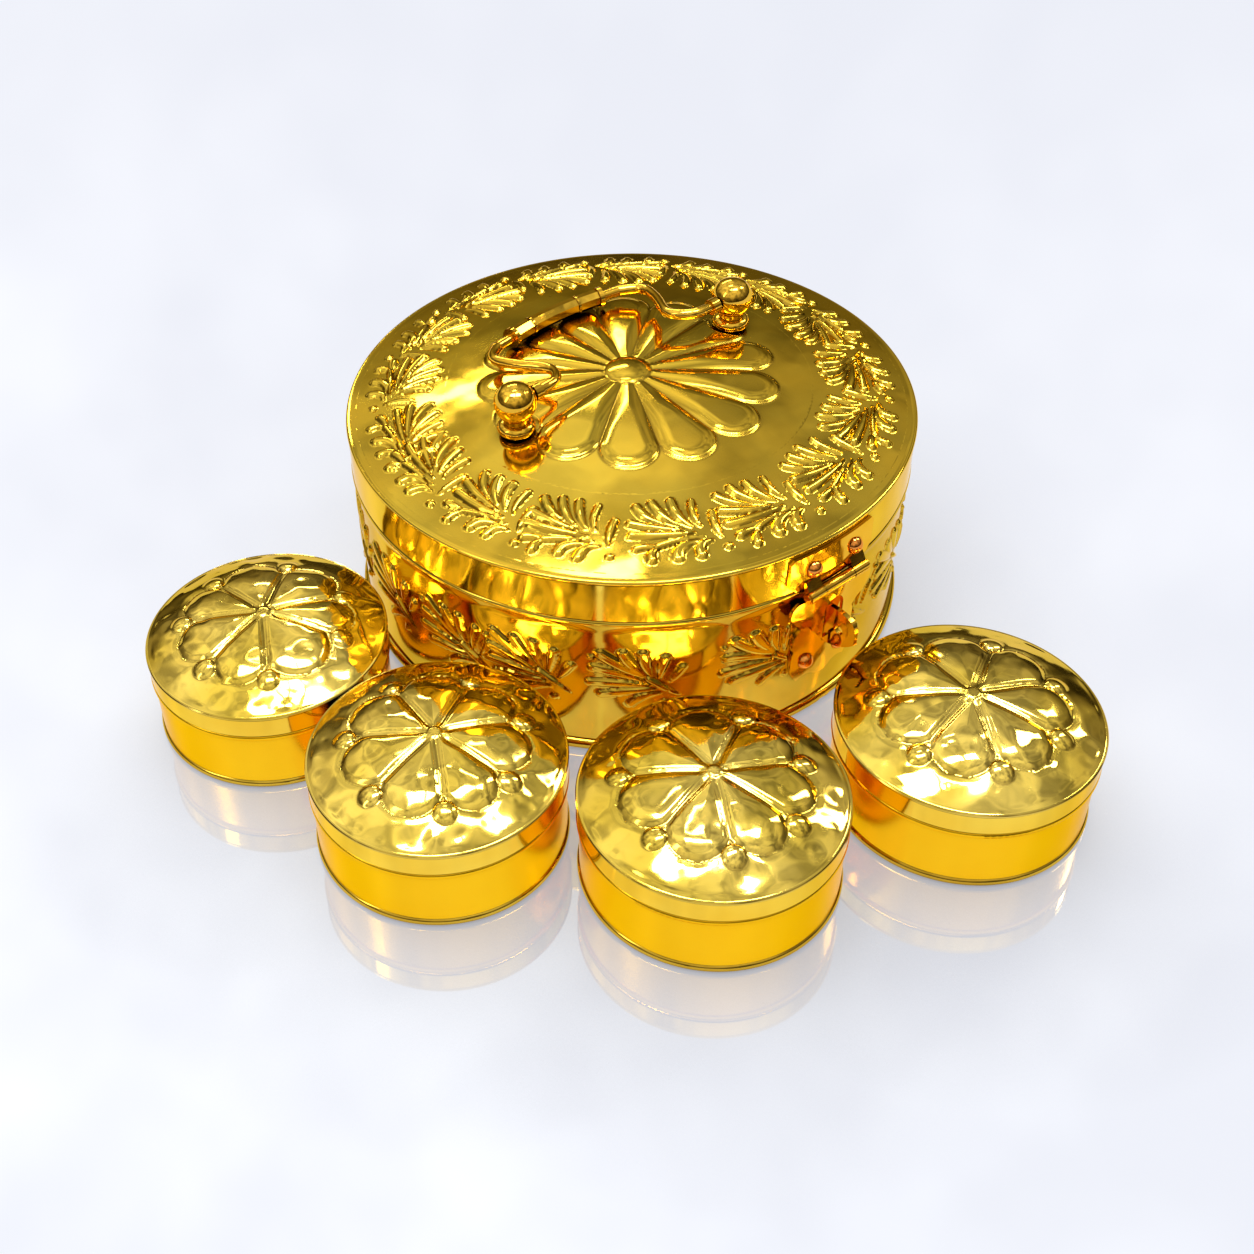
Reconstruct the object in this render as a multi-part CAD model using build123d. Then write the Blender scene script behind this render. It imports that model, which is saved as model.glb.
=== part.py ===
"""Brass paan box: a round hinged case with a domed lid, a swinging bail handle and a hasp, and four small
round boxes with lift-off lids that stand in an arc in front of it.

Millimetres, +Z up. The origin is the centre of the big case's foot on the table. -Y is the front, with the
hasp; +Y is the rear, with the lid hinge; the bail turns about a line along X.
"""
from build123d import *
import math
import os

os.makedirs("parts", exist_ok=True)

# ---------------------------------------------------------------- fits and gaps
HAIR_GAP = 0.02          # between two pieces that are soldered or pressed together
SEAT_GAP = 0.3           # between two pieces that rest on each other and come apart
PIN_CLEARANCE = 0.05     # radial, between a hinge pin and what turns on it

# ---------------------------------------------------------------- big case: floor, foot ring and wall
CASE_WALL_R = 94.6       # outside of the upright wall; lid, foot and fittings take their radii from it
CASE_SHEET = 0.9         # brass sheet of the case wall
CASE_FOOT_STEP = 1.7     # how far the rolled bead that the case stands on comes out of the wall
CASE_FOOT_WIRE_R = 2.0
CASE_FOOT_SINK = 0.2     # how much of that bead is worn flat under the case
CASE_FLOOR_T = 1.0
CASE_BEAD_STEP = 1.4     # how far the thin bead, on which the lid's skirt rests, comes out of the wall
CASE_BEAD_R = 1.3
CASE_BEAD_Z = 55.8       # lid and fittings take their heights from it
CASE_NECK_H = 14.2       # the neck stands inside the lid's skirt
CASE_NECK_SHEET = 0.8
LID_RUN_CLEARANCE = 0.9  # radial, neck to skirt: the lid swings, so its front edge moves in as it rises

# ---------------------------------------------------------------- big lid: skirt and domed top
LID_STEP = 1.4           # how far the crimped edge comes out past the case's wall
LID_EDGE_R = 0.85        # crimped edge bead
LID_EDGE_STEP = 0.3      # the skirt stands in from the crimped edge by this much
LID_EDGE_LAP = 0.1       # how far the edge bead reaches over the domed sheet
LID_SKIRT_H = 14.2
LID_SKIRT_SHEET = 0.8
LID_TOP_SHEET = 0.9
LID_DOME_RISE = 10.8     # the top is a shallow dome
LID_BOSS_R = 7.6         # raised round boss at the middle of the rosette
LID_BOSS_RISE = 1.5

# ---------------------------------------------------------------- bail handle and its two posts
POST_X = 47.5            # from the lid's centre to each post
POST_COLLAR_R = 6.3
POST_COLLAR_H = 4.3
POST_NECK_R = 4.2
POST_BALL_R = 7.0
POST_BALL_RISE = 11.6    # ball centre above the lid under it
POST_CAP_R = 4.5
POST_CAP_H = 1.3
POST_SHANK_R = 2.0
POST_SHANK_TIP = 1.2     # how far the shank comes out of its nut
NUT_CORNER_R = 4.0
NUT_H = 2.6
BAIL_PIN_R = 1.7
BAIL_PIN_DEPTH = 8.6     # how far the bail's pin runs into the ball from the ball's inner face
BAIL_WIRE_R = 1.8
BAIL_COLLAR_R = 2.7
BAIL_COLLAR_L = 3.0
BAIL_GRIP_R = 3.1        # corner radius of the eight-sided grip
BAIL_GRIP_HALF = 19.5    # half the grip's length, along X
BAIL_GRIP_BOW = 2.2
BAIL_REACH = 40.2        # from the pivot line to the middle of the grip
BAIL_RING_R = 3.5
BAIL_RING_L = 1.6
BAIL_RING_INSET = 10.2   # the two ring marks on the grip, from its middle
BAIL_MARK_STEP = 0.15    # how far those marks stand out of the grip's corners
BAIL_REST_DEG = 8.6      # how far the bail droops below level where it lies on the lid

# ---------------------------------------------------------------- hasp and rear hinge
PLATE_T = 1.1            # sheet of the hinge and hasp plates
KNUCKLE_R = 1.9
HINGE_PIN_R = 0.95
PIN_HEAD_L = 0.7
KNUCKLE_HALF = 6.2       # half the length of the middle knuckle
KNUCKLE_END_X = 12.4     # where the outer knuckles end
PLATE_RISE = 2.2         # from a hinge's pin up to the low edge of the lid's plate
WEB_RUN = 2.8            # how far a knuckle's web runs up that plate
HASP_AXIS_STEP = 2.4     # how far the hasp's pin stands out past the crimped edge
HASP_AXIS_DROP = 0.3     # below the middle of the case's bead
HASP_PLATE_HALF_W = 17.8
HASP_PLATE_TOP_DROP = 1.0  # below the crimped edge
HASP_PLATE_CORNER = 2.6
HASP_RIVET_X = 8.8
HASP_RIVET_RISE = 8.5    # above the hasp's pin
FLAP_T = 1.2
FLAP_TOP_GAP = 0.4       # under the outer knuckles
FLAP_HALF_W = 17.4
FLAP_H = 24.2
SLOT_HALF_W = 4.1        # the flap's arched window
SLOT_TOP_DROP = 4.2      # from the flap's top edge
SLOT_H = 15.0
THROAT_HALF_W = 1.4      # the way out below the window, just wide enough for the fin
FIN_T = 1.6              # the upright fin that the flap straddles
FIN_OUT = 13.6           # how far the fin's tip stands out of the wall
FIN_H = 16.0
FIN_FOOT_DROP = 26.6     # from the middle of the case's bead to the fin's foot
LOCK_HOLE_R = 1.7
STAPLE_PLATE_HALF_W = 13.6
STAPLE_PLATE_H = 31.4
STAPLE_PLATE_DROP = 9.4  # from the middle of the case's bead to the plate's top edge
STAPLE_RIVET_X = 7.4
STAPLE_RIVET_DROP = 32.0
REAR_AXIS_STEP = 2.6
REAR_AXIS_RISE = 1.4
REAR_PLATE_HALF_W = 13.0
REAR_PLATE_TOP_DROP = 2.4
REAR_RIVET_X = 7.6
REAR_LID_RIVET_RISE = 8.4
REAR_LEAF_DROP = 18.8    # from the middle of the case's bead to the leaf's low edge
REAR_LEAF_RIVET_DROP = 11.8
RIVET_HEAD_R = 2.9
RIVET_HEAD_H = 2.3
RIVET_SHANK_R = 1.2

# ---------------------------------------------------------------- small boxes
CUP_WALL_R = 39.0
CUP_SHEET = 0.7
CUP_LID_STEP = 0.9
CUP_FOOT_STEP = 0.7
CUP_FOOT_WIRE_R = 1.5
CUP_FOOT_SINK = 0.15
CUP_FLOOR_T = 0.7
CUP_BEAD_STEP = 0.8
CUP_BEAD_R = 1.1
CUP_BEAD_Z = 22.7
CUP_NECK_H = 6.9
CUP_NECK_SHEET = 0.6
CUP_RUN_CLEARANCE = 0.4
CUP_EDGE_R = 0.6
CUP_EDGE_STEP = 0.3
CUP_SKIRT_H = 6.7
CUP_SKIRT_SHEET = 0.6
CUP_TOP_SHEET = 0.6
CUP_DOME_RISE = 9.2
CUP_BUTTON_R = 2.2       # flat button where the lid's seven ridges meet
CUP_BUTTON_RISE = 0.5
# where they stand: gap to the big case's foot, and gap between each one's lid and the lid before it
CUP_A_OUT = 3.2
CUP_B_OUT = 3.1
CUP_C_OUT = 6.6
CUP_D_OUT = 12.5
CUP_B_ASIDE = 0.4
CUP_C_ASIDE = 3.1
CUP_D_ASIDE = 4.4
CUP_A_DEG = 171.3        # bearing of the first one from +X

PARTS = {}


def keep(name, shape, color):
    """Label a finished piece, colour it and note it under its node name."""
    shape.label = name
    shape.color = Color(*color)
    PARTS[name] = shape
    return shape


BRASS = (0.86, 0.64, 0.16)
COPPER = (0.74, 0.36, 0.17)


# ================================================================ general shapes
def turned(corners):
    """Solid of revolution about Z from (radius, height) corners."""
    outline = Polyline(*[(r, 0, z) for r, z in corners], close=True)
    return revolve(make_face(outline), Axis.Z)


def band(r_out, r_in, z_low, z_high):
    return turned([(r_in, z_low), (r_out, z_low), (r_out, z_high), (r_in, z_high)])


def bar_x(radius, x_low, x_high, y, z):
    """Round bar along X."""
    return Pos((x_low + x_high) / 2, y, z) * Rot(0, 90, 0) * Cylinder(radius, x_high - x_low)


class Dome:
    """A spherical cap: height of its outer surface at the edge, edge radius and rise."""

    def __init__(self, edge_r, edge_z, rise, sheet):
        self.edge_r, self.edge_z, self.rise, self.sheet = edge_r, edge_z, rise, sheet
        self.ball_r = (edge_r ** 2 + rise ** 2) / (2 * rise)
        self.centre_z = edge_z + rise - self.ball_r

    def outside(self, r):
        return self.centre_z + math.sqrt(self.ball_r ** 2 - r ** 2)

    def inside(self, r):
        return self.centre_z + math.sqrt((self.ball_r - self.sheet) ** 2 - r ** 2)

    def shell(self):
        """The domed sheet, as a solid of revolution."""
        mid_r = self.edge_r / 2
        outer = ThreePointArc((0, 0, self.outside(0)), (mid_r, 0, self.outside(mid_r)),
                              (self.edge_r, 0, self.outside(self.edge_r)))
        inner = ThreePointArc((self.edge_r, 0, self.inside(self.edge_r)), (mid_r, 0, self.inside(mid_r)),
                              (0, 0, self.inside(0)))
        sides = [Line(outer @ 1, inner @ 0), Line(inner @ 1, outer @ 0)]
        return revolve(make_face([outer, inner] + sides), Axis.Z)

    def solid_ball(self, inside=False):
        radius = self.ball_r - self.sheet if inside else self.ball_r
        return Pos(0, 0, self.centre_z) * Sphere(radius)


def cap(radius, rise):
    """A low round-topped boss whose flat underside is at z = 0."""
    ball_r = (radius ** 2 + rise ** 2) / (2 * rise)
    ball = Pos(0, 0, rise - ball_r) * Sphere(ball_r)
    return ball & Pos(0, 0, rise / 2) * Cylinder(radius * 1.01, rise)


def curved_plate(outline, r_in, r_out, side):
    """Plate bent round the case: an (x, z) face between two radii; side is -1 at the front, 1 at the rear."""
    slab = extrude(outline, amount=2 * r_out, dir=(0, side, 0))
    low = slab.bounding_box().min.Z - 1
    high = slab.bounding_box().max.Z + 1
    return slab & band(r_out, r_in, low, high)


def flat_outline(corners):
    """Face in the XZ plane from (x, z) corners."""
    return make_face(Polyline(*[(x, 0, z) for x, z in corners], close=True))


def radial(bearing, radius, z, shape):
    """Stand a shape, built along +Z from its seat, on a round wall at this bearing."""
    return Rot(0, 0, bearing) * Pos(radius, 0, z) * Rot(0, 90, 0) * shape


def bearing_at(x, radius, side):
    """Bearing of a point on the wall at this x, on the front (-1) or the rear (1)."""
    return side * math.degrees(math.acos(x / radius))


def rivet(grip):
    """Domed rivet, head up on z = 0, shank running down through the grip."""
    shank = Pos(0, 0, -grip / 2) * Cylinder(RIVET_SHANK_R, grip)
    return cap(RIVET_HEAD_R, RIVET_HEAD_H) + shank


def rivet_row(xs, z, seat_r, inner_r, side):
    """One rivet at each x: the solids, and the holes they need."""
    rivets, holes = [], []
    for x in xs:
        bearing = bearing_at(x, seat_r, side)
        rivets.append(radial(bearing, seat_r + HAIR_GAP, z, rivet(seat_r - inner_r)))
        holes.append(radial(bearing, seat_r, z, Cylinder(RIVET_SHANK_R + HAIR_GAP, 4 * PLATE_T)))
    return rivets, holes


def foot_ring(foot_r, wire_r, sink):
    """Rolled bead under the wall, with the flat that it stands on."""
    bead = Pos(0, 0, wire_r - sink) * Torus(foot_r - wire_r, wire_r)
    return bead & Pos(0, 0, wire_r) * Cylinder(foot_r + 1, 2 * wire_r)


def floor_disc(foot_r, wire_r, thickness):
    """Floor sheet inside the foot ring, level with the table."""
    return Pos(0, 0, thickness / 2) * Cylinder(foot_r - 2 * wire_r - HAIR_GAP, thickness)


def necked_wall(wall_r, sheet, bottom_z, bead_out_r, bead_r, bead_z, neck_r, neck_sheet, neck_top):
    """Upright wall with a bead round it and a neck, drawn in a little, above the bead."""
    wall = turned([
        (wall_r - sheet, bottom_z), (wall_r, bottom_z), (wall_r, bead_z), (neck_r, bead_z + bead_r / 2),
        (neck_r, neck_top), (neck_r - neck_sheet, neck_top), (neck_r - neck_sheet, bead_z + bead_r / 2),
        (wall_r - sheet, bead_z - bead_r)])
    return wall + Pos(0, 0, bead_z) * Torus(bead_out_r - bead_r, bead_r)


# ================================================================ sizes worked out from the above
CASE_FOOT_R = CASE_WALL_R + CASE_FOOT_STEP
CASE_BEAD_OUT_R = CASE_WALL_R + CASE_BEAD_STEP
LID_R = CASE_WALL_R + LID_STEP
LID_SKIRT_R = LID_R - LID_EDGE_STEP
LID_SKIRT_IN_R = LID_SKIRT_R - LID_SKIRT_SHEET
LID_SKIRT_LOW_Z = CASE_BEAD_Z + CASE_BEAD_R + SEAT_GAP
LID_SKIRT_TOP_Z = LID_SKIRT_LOW_Z + LID_SKIRT_H
LID_EDGE_Z = LID_SKIRT_TOP_Z + HAIR_GAP + LID_EDGE_R
CASE_NECK_R = LID_SKIRT_IN_R - LID_RUN_CLEARANCE
CASE_WALL_LOW_Z = 2 * CASE_FOOT_WIRE_R - CASE_FOOT_SINK + HAIR_GAP
LID_DOME = Dome(LID_R - LID_EDGE_R, LID_EDGE_Z + LID_EDGE_R - LID_EDGE_LAP, LID_DOME_RISE, LID_TOP_SHEET)

POST_FOOT_Z = LID_DOME.outside(POST_X)
BALL_Z = POST_FOOT_Z + POST_BALL_RISE

PLATE_LID_IN_R = LID_SKIRT_R + HAIR_GAP
PLATE_LID_OUT_R = PLATE_LID_IN_R + PLATE_T
PLATE_CASE_IN_R = CASE_WALL_R + HAIR_GAP
PLATE_CASE_OUT_R = PLATE_CASE_IN_R + PLATE_T
PIN_BORE_R = HINGE_PIN_R + PIN_CLEARANCE
HASP_AXIS_Y = LID_R + HASP_AXIS_STEP
HASP_AXIS_Z = CASE_BEAD_Z - HASP_AXIS_DROP
FLAP_TOP_Z = HASP_AXIS_Z - KNUCKLE_R - FLAP_TOP_GAP
REAR_AXIS_Y = LID_R + REAR_AXIS_STEP
REAR_AXIS_Z = CASE_BEAD_Z + REAR_AXIS_RISE

CUP_LID_R = CUP_WALL_R + CUP_LID_STEP
CUP_FOOT_R = CUP_WALL_R + CUP_FOOT_STEP
CUP_BEAD_OUT_R = CUP_WALL_R + CUP_BEAD_STEP


# ================================================================ hasp and hinge rivets, with their holes
HASP_RIVETS, HASP_HOLES = rivet_row(
    (-HASP_RIVET_X, HASP_RIVET_X), HASP_AXIS_Z + HASP_RIVET_RISE, PLATE_LID_OUT_R, LID_SKIRT_IN_R, -1)
STAPLE_RIVETS, STAPLE_HOLES = rivet_row(
    (-STAPLE_RIVET_X, STAPLE_RIVET_X), CASE_BEAD_Z - STAPLE_RIVET_DROP, PLATE_CASE_OUT_R,
    CASE_WALL_R - CASE_SHEET, -1)
REAR_LID_RIVETS, REAR_LID_HOLES = rivet_row(
    (-REAR_RIVET_X, REAR_RIVET_X), REAR_AXIS_Z + REAR_LID_RIVET_RISE, PLATE_LID_OUT_R, LID_SKIRT_IN_R, 1)
REAR_CASE_RIVETS, REAR_CASE_HOLES = rivet_row(
    (-REAR_RIVET_X, REAR_RIVET_X), CASE_BEAD_Z - REAR_LEAF_RIVET_DROP, PLATE_CASE_OUT_R,
    CASE_WALL_R - CASE_SHEET, 1)


# ================================================================ big case
def build_case():
    keep("case_foot_ring", foot_ring(CASE_FOOT_R, CASE_FOOT_WIRE_R, CASE_FOOT_SINK), BRASS)
    keep("case_floor", floor_disc(CASE_FOOT_R, CASE_FOOT_WIRE_R, CASE_FLOOR_T), BRASS)
    wall = necked_wall(CASE_WALL_R, CASE_SHEET, CASE_WALL_LOW_Z, CASE_BEAD_OUT_R, CASE_BEAD_R, CASE_BEAD_Z,
                       CASE_NECK_R, CASE_NECK_SHEET, CASE_BEAD_Z + CASE_NECK_H)
    keep("case_wall", wall - STAPLE_HOLES - REAR_CASE_HOLES, BRASS)


# ================================================================ big lid
def build_lid():
    skirt = band(LID_SKIRT_R, LID_SKIRT_IN_R, LID_SKIRT_LOW_Z, LID_SKIRT_TOP_Z)
    keep("lid_skirt", skirt - HASP_HOLES - REAR_LID_HOLES, BRASS)

    edge = Pos(0, 0, LID_EDGE_Z) * Torus(LID_R - LID_EDGE_R, LID_EDGE_R)
    boss = Pos(0, 0, LID_DOME.outside(LID_BOSS_R)) * cap(LID_BOSS_R, LID_BOSS_RISE)
    top = LID_DOME.shell() + edge + boss
    for x in (-POST_X, POST_X):
        top -= Pos(x, 0, POST_FOOT_Z) * Cylinder(POST_SHANK_R + HAIR_GAP, 6 * LID_TOP_SHEET)
    keep("lid_top", top, BRASS)


# ================================================================ posts that carry the bail
def post_body():
    """Turned post on z = 0: collar bead, neck, ball with a low button cap, and a shank below."""
    collar_mid = POST_COLLAR_H / 2
    shank_l = LID_TOP_SHEET + NUT_H + POST_SHANK_TIP
    body = Pos(0, 0, -shank_l / 2) * Cylinder(POST_SHANK_R, shank_l)
    body += Pos(0, 0, collar_mid) * Torus(POST_COLLAR_R - collar_mid, collar_mid)
    body += Pos(0, 0, collar_mid / 2) * Cylinder(POST_COLLAR_R - collar_mid, 2 * POST_COLLAR_H - collar_mid)
    body += Pos(0, 0, POST_BALL_RISE / 2) * Cylinder(POST_NECK_R, POST_BALL_RISE)
    ball = Pos(0, 0, POST_BALL_RISE) * Sphere(POST_BALL_R)
    cap_z = POST_BALL_RISE + math.sqrt(POST_BALL_R ** 2 - POST_CAP_R ** 2)
    trim = Pos(0, 0, cap_z + POST_BALL_R) * Box(4 * POST_BALL_R, 4 * POST_BALL_R, 2 * POST_BALL_R)
    return body + (ball - trim) + Pos(0, 0, cap_z) * cap(POST_CAP_R, POST_CAP_H)


def build_posts():
    nuts = []
    for name, side in (("post_left", -1), ("post_right", 1)):
        stand = Pos(side * POST_X, 0, POST_FOOT_Z)
        body = stand * post_body()
        shank = stand * Cylinder(POST_SHANK_R, 8 * NUT_H)
        body = (body - LID_DOME.solid_ball()) + (body & shank & LID_DOME.solid_ball())
        # the bore opens towards the middle of the lid and ends just past the ball's centre
        inner_x = side * (POST_X - 1.1 * POST_BALL_R)
        end_x = side * (POST_X - POST_BALL_R + BAIL_PIN_DEPTH)
        body -= bar_x(BAIL_PIN_R + PIN_CLEARANCE, min(inner_x, end_x), max(inner_x, end_x), 0, BALL_Z)
        keep(name, body, BRASS)

        nut_z = LID_DOME.inside(POST_X) - NUT_H / 2
        nut = extrude(Plane.XY.offset(nut_z - NUT_H / 2) * RegularPolygon(NUT_CORNER_R, 6), 2 * NUT_H)
        nut = Pos(side * POST_X, 0, 0) * nut
        nut -= Pos(side * POST_X, 0, nut_z) * Cylinder(POST_SHANK_R + HAIR_GAP, 8 * NUT_H)
        nuts.append(nut & LID_DOME.solid_ball(inside=True))
    keep("post_nuts", Compound(nuts), BRASS)


# ================================================================ bail handle
def bail_swan_neck():
    """Centre line of the left half, (x, reach): out of the ball, round the hook and up to the grip."""
    span = POST_X - BAIL_GRIP_HALF
    shares = [(0.357, 0.0), (0.643, 0.047), (0.764, 0.189), (0.657, 0.408), (0.532, 0.612), (0.55, 0.806),
              (0.736, 0.915)]
    hook = [(-POST_X + along * span, reach * BAIL_REACH) for along, reach in shares]
    grip_start = (-BAIL_GRIP_HALF, BAIL_REACH - BAIL_GRIP_BOW)
    slope = 2 * BAIL_GRIP_BOW / BAIL_GRIP_HALF
    return Spline(*hook, grip_start, tangents=[(1, 0), (1, slope)])


def build_bail():
    neck_line = bail_swan_neck()
    start = neck_line @ 0
    neck = sweep(Plane(origin=start, z_dir=neck_line % 0) * Circle(BAIL_WIRE_R), neck_line)
    pin_tip = -POST_X + POST_BALL_R - BAIL_PIN_DEPTH + SEAT_GAP
    ball_face = -POST_X + POST_BALL_R
    neck += bar_x(BAIL_PIN_R, pin_tip, start.X + BAIL_WIRE_R / 4, 0, 0)
    neck += bar_x(BAIL_COLLAR_R, ball_face + SEAT_GAP, ball_face + SEAT_GAP + BAIL_COLLAR_L, 0, 0)

    ends = BAIL_REACH - BAIL_GRIP_BOW
    grip_line = ThreePointArc((-BAIL_GRIP_HALF, ends), (0, BAIL_REACH), (BAIL_GRIP_HALF, ends))
    grip_plane = Plane(origin=grip_line @ 0, z_dir=grip_line % 0)
    grip = sweep(grip_plane * RegularPolygon(BAIL_GRIP_R, 8, rotation=22.5), grip_line)
    for end in (0, 1):
        ring_plane = Plane(origin=grip_line @ end, z_dir=grip_line % end)
        grip += ring_plane * Cylinder(BAIL_RING_R, BAIL_RING_L)
    for side in (-1, 1):
        along = 0.5 + side * BAIL_RING_INSET / (2 * BAIL_GRIP_HALF)
        mark_plane = Plane(origin=grip_line @ along, z_dir=grip_line % along)
        grip += mark_plane * Cylinder(BAIL_GRIP_R + BAIL_MARK_STEP, BAIL_RING_L / 2)

    bail = neck + mirror(neck, about=Plane.YZ) + grip
    keep("bail", Pos(0, 0, BALL_Z) * Rot(-BAIL_REST_DEG, 0, 0) * bail, BRASS)


# ================================================================ hinge knuckles
def knuckle(x_low, x_high, axis_y, axis_z, web):
    """One knuckle with the web that joins it to its plate; web is a list of (distance, z) corners."""
    face = make_face(Polyline(*[(x_low, y, z) for y, z in web], close=True))
    return bar_x(KNUCKLE_R, x_low, x_high, axis_y, axis_z) + extrude(face, amount=x_high - x_low, dir=(1, 0, 0))


def outer_knuckles(axis_y, axis_z, web):
    gap = KNUCKLE_HALF + SEAT_GAP
    left = knuckle(-KNUCKLE_END_X, -gap, axis_y, axis_z, web)
    return left + knuckle(gap, KNUCKLE_END_X, axis_y, axis_z, web)


def hinge_pin(axis_y, axis_z):
    pin = bar_x(HINGE_PIN_R, -KNUCKLE_END_X - PIN_HEAD_L, KNUCKLE_END_X + PIN_HEAD_L, axis_y, axis_z)
    for side in (-1, 1):
        near = side * (KNUCKLE_END_X + HAIR_GAP)
        far = side * (KNUCKLE_END_X + PIN_HEAD_L)
        pin += bar_x(HINGE_PIN_R * 1.5, min(near, far), max(near, far), axis_y, axis_z)
    return pin


def pin_bore(axis_y, axis_z, radius):
    return bar_x(radius, -2 * KNUCKLE_END_X, 2 * KNUCKLE_END_X, axis_y, axis_z)


# ================================================================ hasp: lid plate, flap, staple
def lid_plate_web(axis_y, axis_z):
    """Side view of the web from the lid's plate down to a knuckle, for an axis on the +Y side."""
    plate_low = axis_z + PLATE_RISE
    return [(PLATE_LID_IN_R + 0.2 * PLATE_T, plate_low + WEB_RUN),
            (PLATE_LID_OUT_R - 0.1 * PLATE_T, plate_low + WEB_RUN),
            (axis_y, axis_z + KNUCKLE_R), (axis_y, axis_z),
            (axis_y - 0.9 * KNUCKLE_R, axis_z + 0.4 * KNUCKLE_R), (PLATE_LID_IN_R + 0.55 * PLATE_T, plate_low)]


def outline_point(shares, half_w, top_z, height):
    """A point of a plate's right half, from its shares of the half width and of the height below the top."""
    return (shares[0] * half_w, 0, top_z - shares[1] * height)


def scalloped_half(half_w, top_z, height, arcs):
    """Right half of a plate with a level top edge: each arc runs from the last point through one to the next."""
    def at(shares):
        return outline_point(shares, half_w, top_z, height)

    corner = arcs[0][0]
    edges = [Line((0, 0, top_z), at(corner))]
    for start, through, end in arcs:
        edges.append(ThreePointArc(at(start), at(through), at(end)))
    edges.append(Line(at(arcs[-1][2]), (0, 0, top_z)))
    return make_face(edges)


def build_hasp_plate():
    low = HASP_AXIS_Z + PLATE_RISE
    high = LID_EDGE_Z - LID_EDGE_R - HASP_PLATE_TOP_DROP
    half = HASP_PLATE_HALF_W
    cut = HASP_PLATE_CORNER
    outline = flat_outline([(-half + cut, low), (half - cut, low), (half, low + cut), (half, high - cut / 2),
                            (half - cut / 2, high), (-half + cut / 2, high), (-half, high - cut / 2),
                            (-half, low + cut)])
    plate = curved_plate(outline, PLATE_LID_IN_R, PLATE_LID_OUT_R, -1)
    web = [(-y, z) for y, z in lid_plate_web(HASP_AXIS_Y, HASP_AXIS_Z)]
    plate += outer_knuckles(-HASP_AXIS_Y, HASP_AXIS_Z, web)
    plate -= band(PLATE_LID_IN_R, PLATE_LID_IN_R / 2, low - WEB_RUN, high + WEB_RUN)
    keep("hasp_plate", plate - pin_bore(-HASP_AXIS_Y, HASP_AXIS_Z, HINGE_PIN_R + HAIR_GAP) - HASP_HOLES, BRASS)
    keep("hasp_rivets", Compound(HASP_RIVETS), COPPER)
    keep("hasp_pin", hinge_pin(-HASP_AXIS_Y, HASP_AXIS_Z), BRASS)


def build_hasp_flap():
    """Flap bent to the case's round, with scalloped sides, an ogee foot and an arched window for the fin."""
    half = scalloped_half(FLAP_HALF_W, FLAP_TOP_Z, FLAP_H, [
        ((0.83, 0.0), (1.0, 0.14), (0.9, 0.32)),
        ((0.9, 0.32), (0.85, 0.37), (0.75, 0.4)),
        ((0.75, 0.4), (0.54, 0.49), (0.4, 0.66)),
        ((0.4, 0.66), (0.23, 0.81), (0.0, 1.0)),
    ])
    flap = curved_plate(half + mirror(half, about=Plane.YZ), HASP_AXIS_Y - FLAP_T, HASP_AXIS_Y, -1)
    hang = HASP_AXIS_Z - FLAP_TOP_Z
    flap += Pos(0, -HASP_AXIS_Y + FLAP_T / 2, FLAP_TOP_Z + hang / 4) * Box(2 * KNUCKLE_HALF, FLAP_T, 1.5 * hang)

    arch_z = FLAP_TOP_Z - SLOT_TOP_DROP - SLOT_HALF_W
    window_low = FLAP_TOP_Z - SLOT_TOP_DROP - SLOT_H
    window = Pos(0, 0, (arch_z + window_low) / 2) * Box(2 * SLOT_HALF_W, 8 * FLAP_T, arch_z - window_low)
    window += Pos(0, 0, arch_z) * Rot(90, 0, 0) * Cylinder(SLOT_HALF_W, 8 * FLAP_T)
    window += Pos(0, 0, window_low - FLAP_H / 4) * Box(2 * THROAT_HALF_W, 8 * FLAP_T, FLAP_H)
    flap -= Pos(0, -HASP_AXIS_Y, 0) * window
    flap += bar_x(KNUCKLE_R, -KNUCKLE_HALF, KNUCKLE_HALF, -HASP_AXIS_Y, HASP_AXIS_Z)
    keep("hasp_flap", flap - pin_bore(-HASP_AXIS_Y, HASP_AXIS_Z, PIN_BORE_R), BRASS)


def fin_point(out, up):
    """A point of the fin's side view, from its shares of the fin's reach and height."""
    root = PLATE_CASE_IN_R + HAIR_GAP
    reach = CASE_WALL_R + FIN_OUT - root
    return (0, -root - out * reach, CASE_BEAD_Z - FIN_FOOT_DROP + up * FIN_H)


def staple_fin():
    """Quarter-round fin, standing straight out of the case's front, with a hole for the lock's bar."""
    crown, shoulder, chin = (0.86, 0.93), (1.0, 0.64), (1.0, 0.4)
    edges = [
        Line(fin_point(0, 0), fin_point(0, 0.95)),
        ThreePointArc(fin_point(0, 0.95), fin_point(0.46, 1.0), fin_point(*crown)),
        ThreePointArc(fin_point(*crown), fin_point(0.965, 0.83), fin_point(*shoulder)),
        Line(fin_point(*shoulder), fin_point(*chin)),
        ThreePointArc(fin_point(*chin), fin_point(0.6, 0.13), fin_point(0, 0)),
    ]
    fin = extrude(make_face(edges), amount=FIN_T / 2, dir=(1, 0, 0), both=True)
    hole = fin_point(0.53, 0.53)
    return fin - bar_x(LOCK_HOLE_R, -2 * FIN_T, 2 * FIN_T, hole[1], hole[2])


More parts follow.
